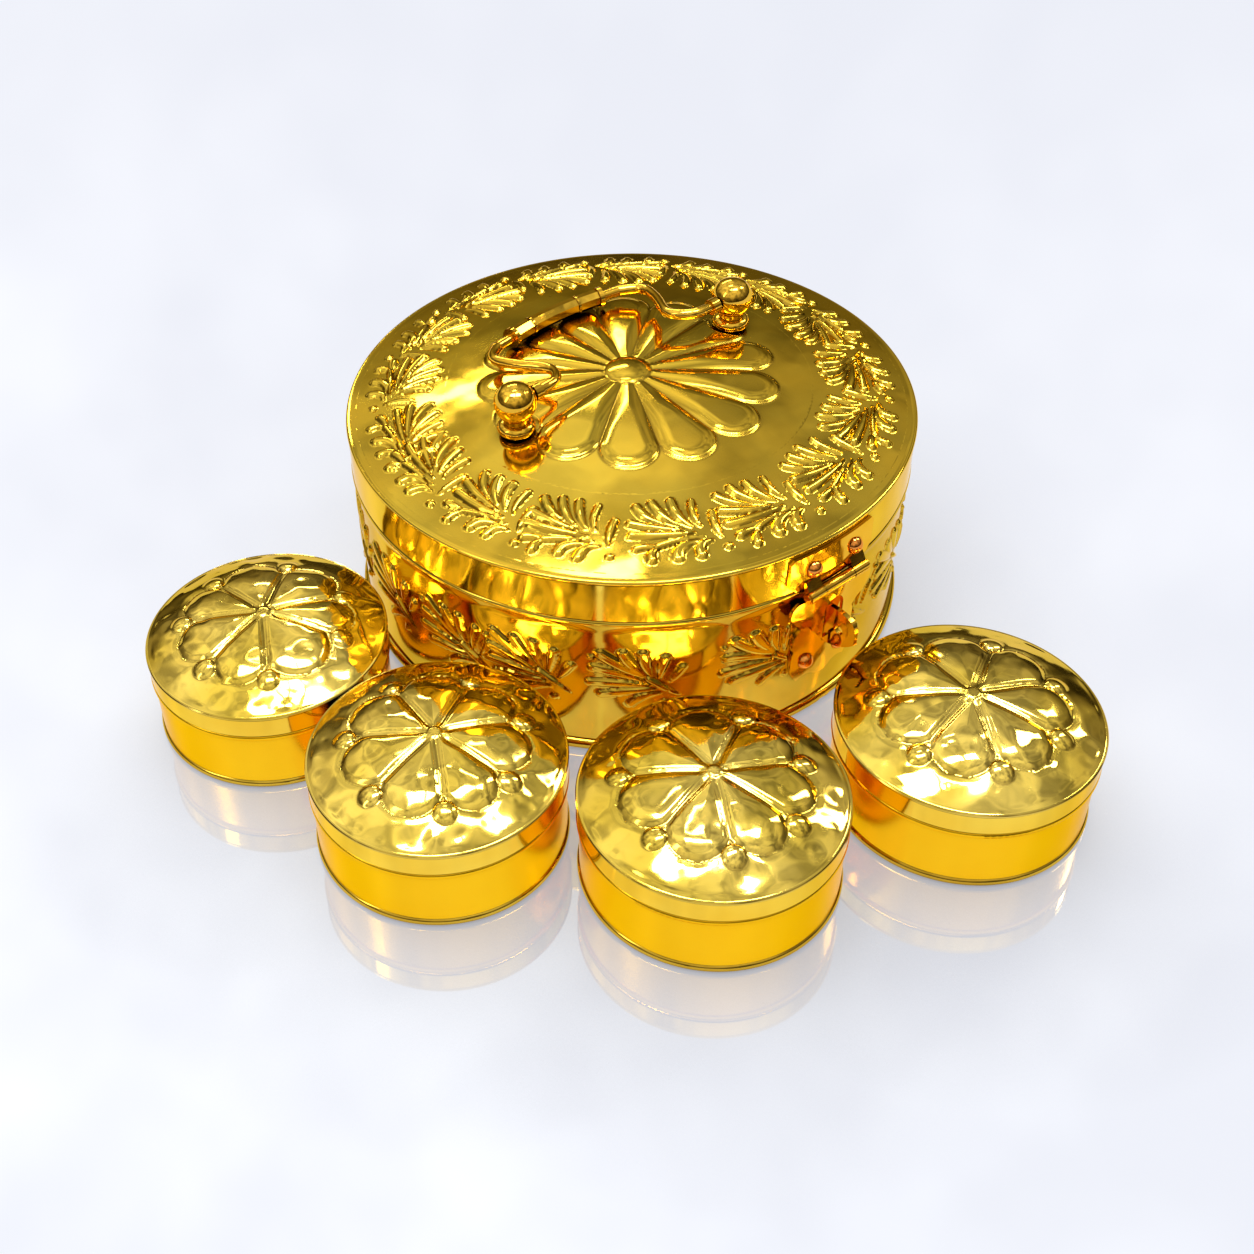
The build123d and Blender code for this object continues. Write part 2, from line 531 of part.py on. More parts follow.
def build_staple():
    half = scalloped_half(STAPLE_PLATE_HALF_W, CASE_BEAD_Z - STAPLE_PLATE_DROP, STAPLE_PLATE_H, [
        ((0.86, 0.0), (0.85, 0.13), (0.79, 0.25)),
        ((0.79, 0.25), (0.98, 0.38), (0.94, 0.52)),
        ((0.94, 0.52), (0.99, 0.73), (0.78, 0.96)),
        ((0.78, 0.96), (0.5, 0.92), (0.3, 0.95)),
        ((0.3, 0.95), (0.16, 0.985), (0.0, 1.0)),
    ])
    plate = curved_plate(half + mirror(half, about=Plane.YZ), PLATE_CASE_IN_R, PLATE_CASE_OUT_R, -1)
    slot = Box(FIN_T + 2 * HAIR_GAP, 8 * PLATE_T, FIN_H)
    plate -= Pos(0, -PLATE_CASE_OUT_R, CASE_BEAD_Z - FIN_FOOT_DROP + FIN_H / 2 - SEAT_GAP) * slot
    keep("staple_plate", plate - STAPLE_HOLES, BRASS)
    keep("staple_fin", staple_fin(), BRASS)
    keep("staple_rivets", Compound(STAPLE_RIVETS), COPPER)


# ================================================================ rear hinge
def build_rear_hinge():
    half = REAR_PLATE_HALF_W
    low = REAR_AXIS_Z + PLATE_RISE
    high = LID_EDGE_Z - LID_EDGE_R - REAR_PLATE_TOP_DROP
    plate = curved_plate(flat_outline([(-half, low), (half, low), (half, high), (-half, high)]),
                         PLATE_LID_IN_R, PLATE_LID_OUT_R, 1)
    plate += outer_knuckles(REAR_AXIS_Y, REAR_AXIS_Z, lid_plate_web(REAR_AXIS_Y, REAR_AXIS_Z))
    plate -= band(PLATE_LID_IN_R, PLATE_LID_IN_R / 2, low - WEB_RUN, high + WEB_RUN)
    bore = pin_bore(REAR_AXIS_Y, REAR_AXIS_Z, HINGE_PIN_R + HAIR_GAP)
    keep("rear_lid_leaf", plate - bore - REAR_LID_HOLES, BRASS)
    keep("rear_lid_rivets", Compound(REAR_LID_RIVETS), COPPER)
    keep("rear_pin", hinge_pin(REAR_AXIS_Y, REAR_AXIS_Z), BRASS)

    # the case leaf steps out round the bead to reach the middle knuckle
    step_z = CASE_BEAD_Z - 3.4 * CASE_BEAD_R
    leaf_low = CASE_BEAD_Z - REAR_LEAF_DROP
    clear_y = CASE_BEAD_OUT_R + SEAT_GAP
    outline = flat_outline([(-half, leaf_low), (half, leaf_low), (half, step_z), (-half, step_z)])
    leaf = curved_plate(outline, PLATE_CASE_IN_R, PLATE_CASE_OUT_R, 1)
    step = [(PLATE_CASE_IN_R + 0.05 * PLATE_T, step_z - WEB_RUN), (PLATE_CASE_OUT_R, step_z - WEB_RUN),
            (clear_y + PLATE_T, step_z + PLATE_T), (REAR_AXIS_Y, REAR_AXIS_Z - KNUCKLE_R),
            (REAR_AXIS_Y, REAR_AXIS_Z), (clear_y, REAR_AXIS_Z), (clear_y, step_z + PLATE_T),
            (PLATE_CASE_IN_R + 0.05 * PLATE_T, step_z - PLATE_T)]
    leaf += knuckle(-KNUCKLE_HALF, KNUCKLE_HALF, REAR_AXIS_Y, REAR_AXIS_Z, step)
    leaf -= band(PLATE_CASE_IN_R, PLATE_CASE_IN_R / 2, leaf_low - WEB_RUN, REAR_AXIS_Z)
    keep("rear_case_leaf", leaf - pin_bore(REAR_AXIS_Y, REAR_AXIS_Z, PIN_BORE_R) - REAR_CASE_HOLES, BRASS)
    keep("rear_case_rivets", Compound(REAR_CASE_RIVETS), COPPER)


# ================================================================ small boxes
def cup_pieces():
    """One small box at the origin, as {piece: shape}."""
    skirt_r = CUP_LID_R - CUP_EDGE_STEP
    skirt_in_r = skirt_r - CUP_SKIRT_SHEET
    skirt_low = CUP_BEAD_Z + CUP_BEAD_R + SEAT_GAP
    skirt_top = skirt_low + CUP_SKIRT_H
    edge_z = skirt_top + HAIR_GAP + CUP_EDGE_R
    dome = Dome(CUP_LID_R - CUP_EDGE_R, edge_z + CUP_EDGE_R - LID_EDGE_LAP, CUP_DOME_RISE, CUP_TOP_SHEET)
    edge = Pos(0, 0, edge_z) * Torus(CUP_LID_R - CUP_EDGE_R, CUP_EDGE_R)
    button = Pos(0, 0, dome.outside(CUP_BUTTON_R)) * cap(CUP_BUTTON_R, CUP_BUTTON_RISE)
    wall_low = 2 * CUP_FOOT_WIRE_R - CUP_FOOT_SINK + HAIR_GAP
    return {
        "foot_ring": foot_ring(CUP_FOOT_R, CUP_FOOT_WIRE_R, CUP_FOOT_SINK),
        "floor": floor_disc(CUP_FOOT_R, CUP_FOOT_WIRE_R, CUP_FLOOR_T),
        "wall": necked_wall(CUP_WALL_R, CUP_SHEET, wall_low, CUP_BEAD_OUT_R, CUP_BEAD_R, CUP_BEAD_Z,
                            skirt_in_r - CUP_RUN_CLEARANCE, CUP_NECK_SHEET, CUP_BEAD_Z + CUP_NECK_H),
        "lid_skirt": band(skirt_r, skirt_in_r, skirt_low, skirt_top),
        "lid_top": dome.shell() + edge + button,
    }


def cup_places():
    """{small box: (distance from the big case's axis, bearing)}, each one a lid's width round from the last."""
    nearest = CASE_FOOT_R + CUP_FOOT_R
    distance, bearing = nearest + CUP_A_OUT, CUP_A_DEG
    places = {"cup_a": (distance, bearing)}
    for cup, out, aside in (("cup_b", CUP_B_OUT, CUP_B_ASIDE), ("cup_c", CUP_C_OUT, CUP_C_ASIDE),
                            ("cup_d", CUP_D_OUT, CUP_D_ASIDE)):
        apart = 2 * CUP_LID_R + aside
        far = nearest + out
        turn = math.acos((distance ** 2 + far ** 2 - apart ** 2) / (2 * distance * far))
        distance, bearing = far, bearing + math.degrees(turn)
        places[cup] = (distance, bearing)
    return places


def build_cups():
    for cup, (distance, bearing) in cup_places().items():
        place = Rot(0, 0, bearing) * Pos(distance, 0, 0)
        for piece, shape in cup_pieces().items():
            keep(f"{cup}_{piece}", place * shape, BRASS)


build_case()
build_lid()
build_posts()
build_bail()
build_hasp_plate()
build_hasp_flap()
build_staple()
build_rear_hinge()
build_cups()

for node, solid in PARTS.items():
    export_step(solid, f"parts/{node}.step")
print(len(PARTS), "pieces")
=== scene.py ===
# %% [markdown]
# # A brass betel box with four small boxes, dressed in Blender
# The CAD model gives every size and every joint. Blender adds what a sheet-metal worker adds after the
# sheets are spun: the chased leaves, the rosette, the petals of the small lids, and the polish. The CAD
# pieces are loaded first and never moved.

# %% Load the CAD model
import math
import random

import bpy
import numpy as np
from mathutils import Matrix, Vector


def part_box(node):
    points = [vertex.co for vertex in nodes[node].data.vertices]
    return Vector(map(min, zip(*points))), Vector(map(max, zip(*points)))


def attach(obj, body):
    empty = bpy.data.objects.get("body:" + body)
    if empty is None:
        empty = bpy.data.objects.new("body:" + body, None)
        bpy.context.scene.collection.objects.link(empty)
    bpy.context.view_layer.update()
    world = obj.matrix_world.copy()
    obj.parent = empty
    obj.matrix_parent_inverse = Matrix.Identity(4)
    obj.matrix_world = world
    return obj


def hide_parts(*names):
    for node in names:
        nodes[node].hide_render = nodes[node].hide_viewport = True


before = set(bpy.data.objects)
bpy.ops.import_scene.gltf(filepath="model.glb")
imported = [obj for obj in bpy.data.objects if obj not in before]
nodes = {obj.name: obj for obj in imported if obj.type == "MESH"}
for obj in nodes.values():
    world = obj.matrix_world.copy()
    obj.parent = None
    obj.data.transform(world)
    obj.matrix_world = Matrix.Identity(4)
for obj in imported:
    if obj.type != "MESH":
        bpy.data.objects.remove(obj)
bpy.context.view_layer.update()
MM = 0.001


# %% [markdown]
# ## Camera
# The photograph was taken from the left front, about 40 degrees above the table. The camera's place and
# turn were found from the round rims of the five boxes, so they are written as real sizes: where the lens
# is, and which ways it looks. The picture was cropped off its middle, which is what the shift is for.

# %% Camera at the photograph's viewing angle
LENS_PLACE = Vector((-303.72, -344.11, 394.20)) * MM
LENS_RIGHT = Vector((0.79995, -0.59738, -0.05674))
LENS_UP = Vector((0.42140, 0.49194, 0.76185))
LENS_BACK = -Vector((0.42720, 0.63335, -0.64527))
PICTURE_SIDE = 1254
FOCAL_PIXELS = 1631.56
MIDDLE_X, MIDDLE_Y = 463.67, 551.57
SENSOR = 36.0

camera_data = bpy.data.cameras.new("photo_camera")
camera_data.sensor_width = SENSOR
camera_data.lens = FOCAL_PIXELS * SENSOR / PICTURE_SIDE
camera_data.shift_x = (PICTURE_SIDE / 2 - MIDDLE_X) / PICTURE_SIDE
camera_data.shift_y = (MIDDLE_Y - PICTURE_SIDE / 2) / PICTURE_SIDE
camera_data.clip_start = 0.01
camera = bpy.data.objects.new("photo_camera", camera_data)
bpy.context.scene.collection.objects.link(camera)
turn = Matrix((LENS_RIGHT, LENS_UP, LENS_BACK)).transposed().to_4x4()
camera.matrix_world = Matrix.Translation(LENS_PLACE) @ turn
bpy.context.scene.camera = camera
bpy.context.scene.view_settings.view_transform = "Standard"
print("lens", round(camera_data.lens, 2), "shift", round(camera_data.shift_x, 4), round(camera_data.shift_y, 4))


# %% [markdown]
# ## Table and light
# Polished metal has hardly any colour of its own to show: it shows the room. The boxes stand on a glossy
# white sheet, so their walls mirror white. Above them hangs a soft light, and the room gets dimmer towards
# the horizon and towards the right. That gives brass its bright tops and its brown shadows. The sheet is
# pale where the camera or the metal looks at it, and mirrors the boxes faintly. For the camera alone it
# also darkens a little where those mirror images lie, by ambient occlusion that leans that way.

# %% Helpers for shader nodes
def shader_nodes(owner):
    """Clears the nodes of a material or a world and gives back its tree, the maker of nodes and the linker."""
    owner.use_nodes = True
    tree = owner.node_tree
    tree.nodes.clear()
    return tree, tree.nodes.new, tree.links.new


def maths(tree, operation, *values):
    """The result of a Math node whose inputs are sockets or plain numbers."""
    node = tree.nodes.new("ShaderNodeMath")
    node.operation = operation
    for socket, value in zip(node.inputs, values):
        if isinstance(value, float):
            socket.default_value = value
        else:
            tree.links.new(value, socket)
    return node.outputs[0]


def ranged(tree, value, start, end, low, high):
    """A value between start and end, stretched to lie between low and high."""
    fit = tree.nodes.new("ShaderNodeMapRange")
    for name, bound in zip(("From Min", "From Max", "To Min", "To Max"), (start, end, low, high)):
        fit.inputs[name].default_value = bound
    tree.links.new(value, fit.inputs["Value"])
    return fit.outputs[0]


# %% The glossy white sheet under the boxes
SHEET_SIDE = 8.0
SHEET_DROP = 0.0002
SHEET_PALE = (0.920, 0.945, 1.0, 1.0)
SHEET_GLOW = 0.92
SHEET_MATT = (0.30, 0.305, 0.42, 1.0)
SHEET_MIRROR = 0.21
MIRROR_TONE = (0.95, 0.95, 0.95, 1.0)
MIRROR_ROUGHNESS = 0.04
SHADE_REACH = 0.075
SHADE_DEEPEST = 0.35
SHADE_SAMPLES = 6
SHADE_LEAN = (0.427, 0.633, 0.645)  # the camera's look after the sheet has mirrored it

bpy.ops.object.select_all(action="DESELECT")
bpy.ops.mesh.primitive_plane_add(size=SHEET_SIDE, location=(0, 0, -SHEET_DROP))
sheet = bpy.context.object
sheet.name = "white_sheet"
sheet_look = bpy.data.materials.new("glossy_white_sheet")
tree, new, link = shader_nodes(sheet_look)
path = new("ShaderNodeLightPath")
lean = new("ShaderNodeCombineXYZ")
for axis, share in zip("XYZ", SHADE_LEAN):
    lean.inputs[axis].default_value = share
shade = new("ShaderNodeAmbientOcclusion")
shade.samples = SHADE_SAMPLES
shade.inputs["Distance"].default_value = SHADE_REACH
link(lean.outputs[0], shade.inputs["Normal"])
soft_shade = ranged(tree, shade.outputs["AO"], 0, 1, SHADE_DEEPEST, 1)
seen_by_camera = maths(tree, "MULTIPLY", path.outputs["Is Camera Ray"], soft_shade)
seen_by_metal = maths(tree, "MAXIMUM", path.outputs["Is Transmission Ray"], path.outputs["Is Glossy Ray"])
seen = maths(tree, "MAXIMUM", seen_by_camera, seen_by_metal)
glow = new("ShaderNodeEmission")
glow.inputs["Color"].default_value = SHEET_PALE
link(maths(tree, "MULTIPLY", seen, SHEET_GLOW), glow.inputs["Strength"])
matt = new("ShaderNodeBsdfDiffuse")
matt.inputs["Color"].default_value = SHEET_MATT
lit = new("ShaderNodeAddShader")
link(glow.outputs[0], lit.inputs[0])
link(matt.outputs[0], lit.inputs[1])
mirror = new("ShaderNodeBsdfAnisotropic")
mirror.inputs["Roughness"].default_value = MIRROR_ROUGHNESS
mirror.inputs["Color"].default_value = MIRROR_TONE
whole = new("ShaderNodeMixShader")
whole.inputs["Fac"].default_value = SHEET_MIRROR
link(lit.outputs[0], whole.inputs[1])
link(mirror.outputs[0], whole.inputs[2])
out = new("ShaderNodeOutputMaterial")
link(whole.outputs[0], out.inputs["Surface"])
sheet.data.materials.append(sheet_look)
print("sheet", sheet.dimensions[:])

# %% The room: dim at the horizon, lighter overhead and on the left, never quite even
ROOM_STEPS = [
    # height, 0 at the horizon and 1 overhead, and the colour there
    (0.00, (0.035, 0.027, 0.018)),
    (0.28, (0.17, 0.155, 0.12)),
    (0.56, (0.54, 0.53, 0.47)),
    (0.78, (0.72, 0.73, 0.68)),
    (1.00, (0.74, 0.76, 0.74)),
]
PATCHES = {"Scale": 2.4, "Detail": 4.0, "Roughness": 0.6}
PATCH_LEVELS = (0.40, 0.60, 0.42, 1.5)  # the noise's range, and how bright the room is at its ends
ROOM_LEFT = (-0.80, 0.60, 0.0)  # the side that is a little lighter
LEFT_LEVELS = (-0.55, 0.6, 0.85, 1.25)  # how far left a direction points, and how bright the room is there
world = bpy.data.worlds.new("studio_room")
bpy.context.scene.world = world
tree, new, link = shader_nodes(world)
look = new("ShaderNodeTexCoord").outputs["Generated"]
split = new("ShaderNodeSeparateXYZ")
link(look, split.inputs[0])
ramp = new("ShaderNodeValToRGB")
link(split.outputs["Z"], ramp.inputs["Fac"])
while len(ramp.color_ramp.elements) < len(ROOM_STEPS):
    ramp.color_ramp.elements.new(0.5)
for element, (place, tone) in zip(ramp.color_ramp.elements, ROOM_STEPS):
    element.position = place
    element.color = (*tone, 1.0)
patches = new("ShaderNodeTexNoise")
for name, value in PATCHES.items():
    patches.inputs[name].default_value = value
link(look, patches.inputs["Vector"])
leftward = new("ShaderNodeVectorMath")
leftward.operation = "DOT_PRODUCT"
leftward.inputs[1].default_value = ROOM_LEFT
link(look, leftward.inputs[0])
patch_level = ranged(tree, patches.outputs["Fac"], *PATCH_LEVELS)
left_level = ranged(tree, leftward.outputs["Value"], *LEFT_LEVELS)
back = new("ShaderNodeBackground")
link(ramp.outputs["Color"], back.inputs["Color"])
link(maths(tree, "MULTIPLY", left_level, patch_level), back.inputs["Strength"])
out = new("ShaderNodeOutputWorld")
link(back.outputs[0], out.inputs["Surface"])
print("room steps", len(ROOM_STEPS))

# %% Soft lights, which light the boxes and leave the sheet alone
LIGHTS = [
    # name, bearing and height over the horizon in degrees, distance, width, length, watts
    ("overhead_far", 60, 68, 1.20, 0.24, 0.07, 0.7),
    ("overhead_left", 150, 81, 1.15, 0.26, 0.36, 7.5),
    ("overhead_right", -30, 79, 1.15, 0.22, 0.34, 6.5),
    ("left_window", 168, 36, 1.10, 0.16, 0.50, 1.0),
    ("right_window", -8, 40, 1.10, 0.14, 0.46, 3.2),
    ("back_strip", 62, 33, 1.30, 0.50, 0.07, 1.6),
]
LIT_POINT = Vector((-0.03, -0.05, 0.05))
kept_off = bpy.data.collections.new("lamps_leave_the_sheet")
kept_off.objects.link(sheet)
kept_off.collection_objects[0].light_linking.link_state = "EXCLUDE"
for name, bearing, height, distance, width, length, watts in LIGHTS:
    data = bpy.data.lights.new(name, "AREA")
    data.shape = "RECTANGLE"
    data.size = width
    data.size_y = length
    data.energy = watts
    lamp = bpy.data.objects.new(name, data)
    bpy.context.scene.collection.objects.link(lamp)
    b, h = math.radians(bearing), math.radians(height)
    offset = Vector((math.cos(h) * math.cos(b), math.cos(h) * math.sin(b), math.sin(h))) * distance
    lamp.location = LIT_POINT + offset
    lamp.rotation_euler = offset.to_track_quat("Z", "Y").to_euler()
    lamp.light_linking.receiver_collection = kept_off
print("lights", [light[0] for light in LIGHTS])


# %% [markdown]
# ## Brass
# Polished brass is a metal shader with a yellow colour, almost no roughness, and a thin clear lacquer over
# it, which is what turns the brightest spots white. Hand-polished sheet is never quite even: slow waves
# bend the mirror images, faint patches are duller or greener, and fine scratches follow the cloth. Tight
# corners and the joints between parts get painted shade, brown where ambient occlusion finds them closed
# in. The chased grooves get brown patina with painted shade in it. Their place comes from an attribute on
# the mesh, which the embossed pieces below carry.

# %% A maker of brass finishes
EDGE_GOLD = (0.97, 0.78, 0.40, 1.0)
# Painted shade in corners, and patina with painted shade in the chased grooves, take these two browns.
CORNER_SHADE_BROWN = (0.075, 0.030, 0.006)
GROOVE_BROWN = (0.10, 0.045, 0.008)
GROOVE_DULL = 0.22
CORNER_SHADE_RANGE = (0.25, 0.86)  # how open a corner is where its painted shade is all brown, and where there is none
CORNER_SHADE_SAMPLES = 4
NOISE_RANGE = (0.35, 0.65)  # noise seldom leaves it
PATCH_SIZE, DULL_SIZE, SCRATCH_SIZE = 0.030, 0.012, 0.0016
SCRATCH_STRETCH = (1, 0.12, 1)
SCRATCH_DEPTH = 0.004
LACQUER_ROUGHNESS = 0.03


def brass(name, colour, second, dull=(0.05, 0.13), wave=0.5, wave_size=0.022, coat=0.06, patina_and_shade=False,
          corner_shade_reach=0.003):
    """One brass finish: two colours in soft patches, painted shade in corners, and brown patina with painted shade
    in the grooves if asked. Dull is the range of roughness, wave the waves' depth in mm, wave_size and the reach
    of the corner shade are in metres."""
    material = bpy.data.materials.new(name)
    tree, new, link = shader_nodes(material)
    place = new("ShaderNodeTexCoord").outputs["Object"]

    def noise(size, detail, stretch=(1, 1, 1)):
        turned = new("ShaderNodeMapping")
        turned.inputs["Scale"].default_value = stretch
        link(place, turned.inputs["Vector"])
        cloud = new("ShaderNodeTexNoise")
        cloud.inputs["Scale"].default_value = 1 / size
        cloud.inputs["Detail"].default_value = detail
        link(turned.outputs[0], cloud.inputs["Vector"])
        return cloud.outputs["Fac"]

    def blend(share, first, last):
        mix = new("ShaderNodeMix")
        mix.data_type = "RGBA"
        link(share, mix.inputs["Factor"])
        for socket, tone in ((mix.inputs[6], first), (mix.inputs[7], last)):
            if isinstance(tone, tuple):
                socket.default_value = (*tone, 1.0)
            else:
                link(tone, socket)
        return mix.outputs[2]

    def bump(height, depth):
        relief = new("ShaderNodeBump")
        relief.inputs["Distance"].default_value = depth * MM
        relief.inputs["Strength"].default_value = 1.0
        link(height, relief.inputs["Height"])
        return relief

    tone = blend(ranged(tree, noise(PATCH_SIZE, 3), *NOISE_RANGE, 0, 1), colour, second)
    # Painted shade: corners that ambient occlusion finds closed in turn brown.
    corner_shade = new("ShaderNodeAmbientOcclusion")
    corner_shade.samples = CORNER_SHADE_SAMPLES
    corner_shade.inputs["Distance"].default_value = corner_shade_reach
    tone = blend(ranged(tree, corner_shade.outputs["AO"], *CORNER_SHADE_RANGE, 1, 0), tone, CORNER_SHADE_BROWN)
    rough = ranged(tree, noise(DULL_SIZE, 4), *NOISE_RANGE, *dull)
    # Brown patina with painted shade along the chased grooves, where the mesh's attribute says.
    if patina_and_shade:
        groove = new("ShaderNodeAttribute")
        groove.attribute_name = "patina_and_shade"
        tone = blend(groove.outputs["Fac"], tone, GROOVE_BROWN)
        rough = maths(tree, "MULTIPLY_ADD", groove.outputs["Fac"], GROOVE_DULL, rough)
    waves = bump(noise(wave_size, 1), wave)
    scratches = bump(noise(SCRATCH_SIZE, 3, SCRATCH_STRETCH), SCRATCH_DEPTH)
    link(waves.outputs[0], scratches.inputs["Normal"])
    metal = new("ShaderNodeBsdfPrincipled")
    metal.inputs["Metallic"].default_value = 1.0
    metal.inputs["Specular Tint"].default_value = EDGE_GOLD
    metal.inputs["Coat Weight"].default_value = coat
    metal.inputs["Coat Roughness"].default_value = LACQUER_ROUGHNESS
    link(tone, metal.inputs["Base Color"])
    link(rough, metal.inputs["Roughness"])
    link(scratches.outputs[0], metal.inputs["Normal"])
    link(scratches.outputs[0], metal.inputs["Coat Normal"])
    out = new("ShaderNodeOutputMaterial")
    link(metal.outputs[0], out.inputs["Surface"])
    return material


# %% The finishes
YELLOW, OLIVE = (0.93, 0.57, 0.045), (0.80, 0.53, 0.05)
# The wall's and frieze's two colours are the brass darkened as painted shade, standing in for the dark reflections
# on the wall.
SHADED_WALL_GOLD, SHADED_WALL_AMBER = (0.82, 0.53, 0.05), (0.64, 0.37, 0.025)
lid_brass = brass("lid_brass", YELLOW, OLIVE, dull=(0.05, 0.12), wave=0.35, wave_size=0.030)
embossed_brass = brass("embossed_brass", YELLOW, OLIVE, dull=(0.06, 0.13), wave=0.25, wave_size=0.016,
                       patina_and_shade=True, corner_shade_reach=0.0045)
wall_brass = brass("wall_brass", SHADED_WALL_GOLD, SHADED_WALL_AMBER, dull=(0.06, 0.13), wave=0.5, wave_size=0.028,
                   corner_shade_reach=0.005)
skirt_brass = brass("skirt_brass", (0.97, 0.66, 0.07), (0.90, 0.55, 0.04), dull=(0.06, 0.13), wave=0.5,
                    wave_size=0.024, corner_shade_reach=0.004)
frieze_brass = brass("frieze_brass", SHADED_WALL_GOLD, SHADED_WALL_AMBER, dull=(0.06, 0.14), wave=0.4, wave_size=0.020,
                     patina_and_shade=True, corner_shade_reach=0.005)
small_lid_brass = brass("small_lid_brass", (0.95, 0.67, 0.13), (0.80, 0.54, 0.06), dull=(0.05, 0.12),
                        wave=0.3, wave_size=0.010, patina_and_shade=True)
satin_brass = brass("satin_brass", (1.0, 0.57, 0.012), (0.98, 0.53, 0.01), dull=(0.20, 0.27), wave=0.2,
                    wave_size=0.03, coat=0.02)
fitting_brass = brass("fitting_brass", (0.98, 0.58, 0.07), (0.84, 0.43, 0.03), dull=(0.06, 0.12), wave=0.2,
                      wave_size=0.008, corner_shade_reach=0.0010)
cast_brass = brass("cast_brass", (0.95, 0.57, 0.06), (0.86, 0.46, 0.03), dull=(0.05, 0.11), wave=0.2,
                   wave_size=0.006, corner_shade_reach=0.0025)
inside_brass = brass("inside_brass", (0.84, 0.52, 0.06), (0.72, 0.42, 0.05), dull=(0.16, 0.30), wave=0.3)
rivet_copper = brass("rivet_copper", (0.95, 0.36, 0.07), (0.84, 0.27, 0.04), dull=(0.08, 0.16), wave=0.1,
                     wave_size=0.004, corner_shade_reach=0.0008)
print("finishes", len([m for m in bpy.data.materials if m.use_nodes]))


# %% [markdown]
# ## Spinning a sheet
# A spinner presses a flat disc over a turning form. The same is done here: the sheet's cross-section is
# drawn as a closed line in millimetres, radius and height, and Blender's spin turns it once round. The
# spin closes its own seam. A line that ends on the axis leaves a bunch of points there, which are merged
# into one pole. Normals are made to face outwards after that.

# %% Spin a cross-section into a closed sheet
def arc(middle, radius, start, end, count):
    """Points on a circle's arc in the cross-section, angles in degrees."""
    return [(middle[0] + radius * math.cos(math.radians(a)), middle[1] + radius * math.sin(math.radians(a)))
            for a in np.linspace(start, end, count)]


WELD = 1e-7


def spun(name, outline, steps, to_axis=False, finer=0):
    """A sheet spun in steps from one outline of (radius, height) in mm, closed unless it starts and ends on the
    axis. Each face is then divided finer times, and new points are pushed out from the chords to the circle."""
    count = len(outline)
    edges = [(i, i + 1) for i in range(count - 1)] + ([] if to_axis else [(count - 1, 0)])
    mesh = bpy.data.meshes.new(name)
    mesh.from_pydata([(r * MM, 0, z * MM) for r, z in outline], edges, [])
    piece = bpy.data.objects.new(name, mesh)
    bpy.context.scene.collection.objects.link(piece)
    bpy.ops.object.select_all(action="DESELECT")
    bpy.context.view_layer.objects.active = piece
    piece.select_set(True)
    bpy.ops.object.mode_set(mode="EDIT")
    bpy.ops.mesh.select_all(action="SELECT")
    bpy.ops.mesh.spin(steps=steps, angle=2 * math.pi, center=(0, 0, 0), axis=(0, 0, 1), use_auto_merge=True)
    bpy.ops.mesh.select_all(action="SELECT")
    bpy.ops.mesh.remove_doubles(threshold=WELD)
    bpy.ops.mesh.normals_make_consistent(inside=False)
    bpy.ops.object.mode_set(mode="OBJECT")
    if finer:
        divide = piece.modifiers.new("finer", "SUBSURF")
        divide.subdivision_type = "SIMPLE"
        divide.levels = divide.render_levels = finer
        bpy.ops.object.modifier_apply(modifier="finer")
        points = points_of(piece)
        chord = 2 * math.pi / steps
        past = (np.arctan2(points[:, 1], points[:, 0]) % chord) - chord / 2
        points[:, :2] *= (np.cos(past) / math.cos(chord / 2))[:, None]
        put_points(piece, points)
    return piece


def points_of(piece):
    """The piece's points in mm, one row each."""
    co = np.empty(len(piece.data.vertices) * 3)
    piece.data.vertices.foreach_get("co", co)
    return co.reshape(-1, 3) / MM


def put_points(piece, points):
    """Writes points in mm back into the piece."""
    piece.data.vertices.foreach_set("co", (points * MM).ravel())
    piece.data.update()


def polar(points):
    """Radius in mm and bearing in degrees of each point."""
    return np.hypot(points[:, 0], points[:, 1]), np.degrees(np.arctan2(points[:, 1], points[:, 0]))


SMOOTH_BELOW = math.radians(42)  # edges sharper than this stay crisp


def finish_piece(piece, body, look, slot, *replaced):
    """Smooth shading, finish, body and the CAD nodes that the piece stands for."""
    bpy.ops.object.select_all(action="DESELECT")
    bpy.context.view_layer.objects.active = piece
    piece.select_set(True)
    bpy.ops.object.shade_smooth_by_angle(angle=SMOOTH_BELOW)
    piece.data.materials.clear()
    piece.data.materials.append(look)
    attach(piece, body)
    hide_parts(*replaced)
    print(piece.name, "points", len(piece.data.vertices), "faces", len(piece.data.polygons))


# %% [markdown]
# ## Chasing a leaflet
# The leaves are raised with a punch, stroke by stroke: each leaflet starts thin at the stem, swells, and
# ends round. So one leaflet is a curve with a width, and its height at a point depends on how far that
# point is from the curve, as a share of the width there. A spray is a handful of leaflets round one root.
# It is written once, in millimetres from its root, and repeated round the lid and round the wall. Every
# copy gets small seeded changes, since no two of a chaser's sprays are alike.

# %% One leaflet and one spray
STEM_SHARE = 0.30  # a leaflet's width at the stem, as a share of its full width
SWELL_PACE = 1.25  # the full width is reached at 1 / 1.25 of the length
SWELL_CURVE = 1.1
ROUNDNESS = 0.72  # the lower, the flatter the top and the steeper the foot
VEIN_SHARE = 0.38
LOW_SHARE = 0.25  # a leaflet's height where it has no width, as a share of its full height
BALL_SHARE = 0.8  # a ball's height, as a share of a leaflet's
LEAF_SLIP, BALL_SLIP = 0.4, 0.3  # how far the hand strays, in mm
WIDTH_CHANGE, HEIGHT_CHANGE = (0.94, 1.06), (0.85, 1.05)


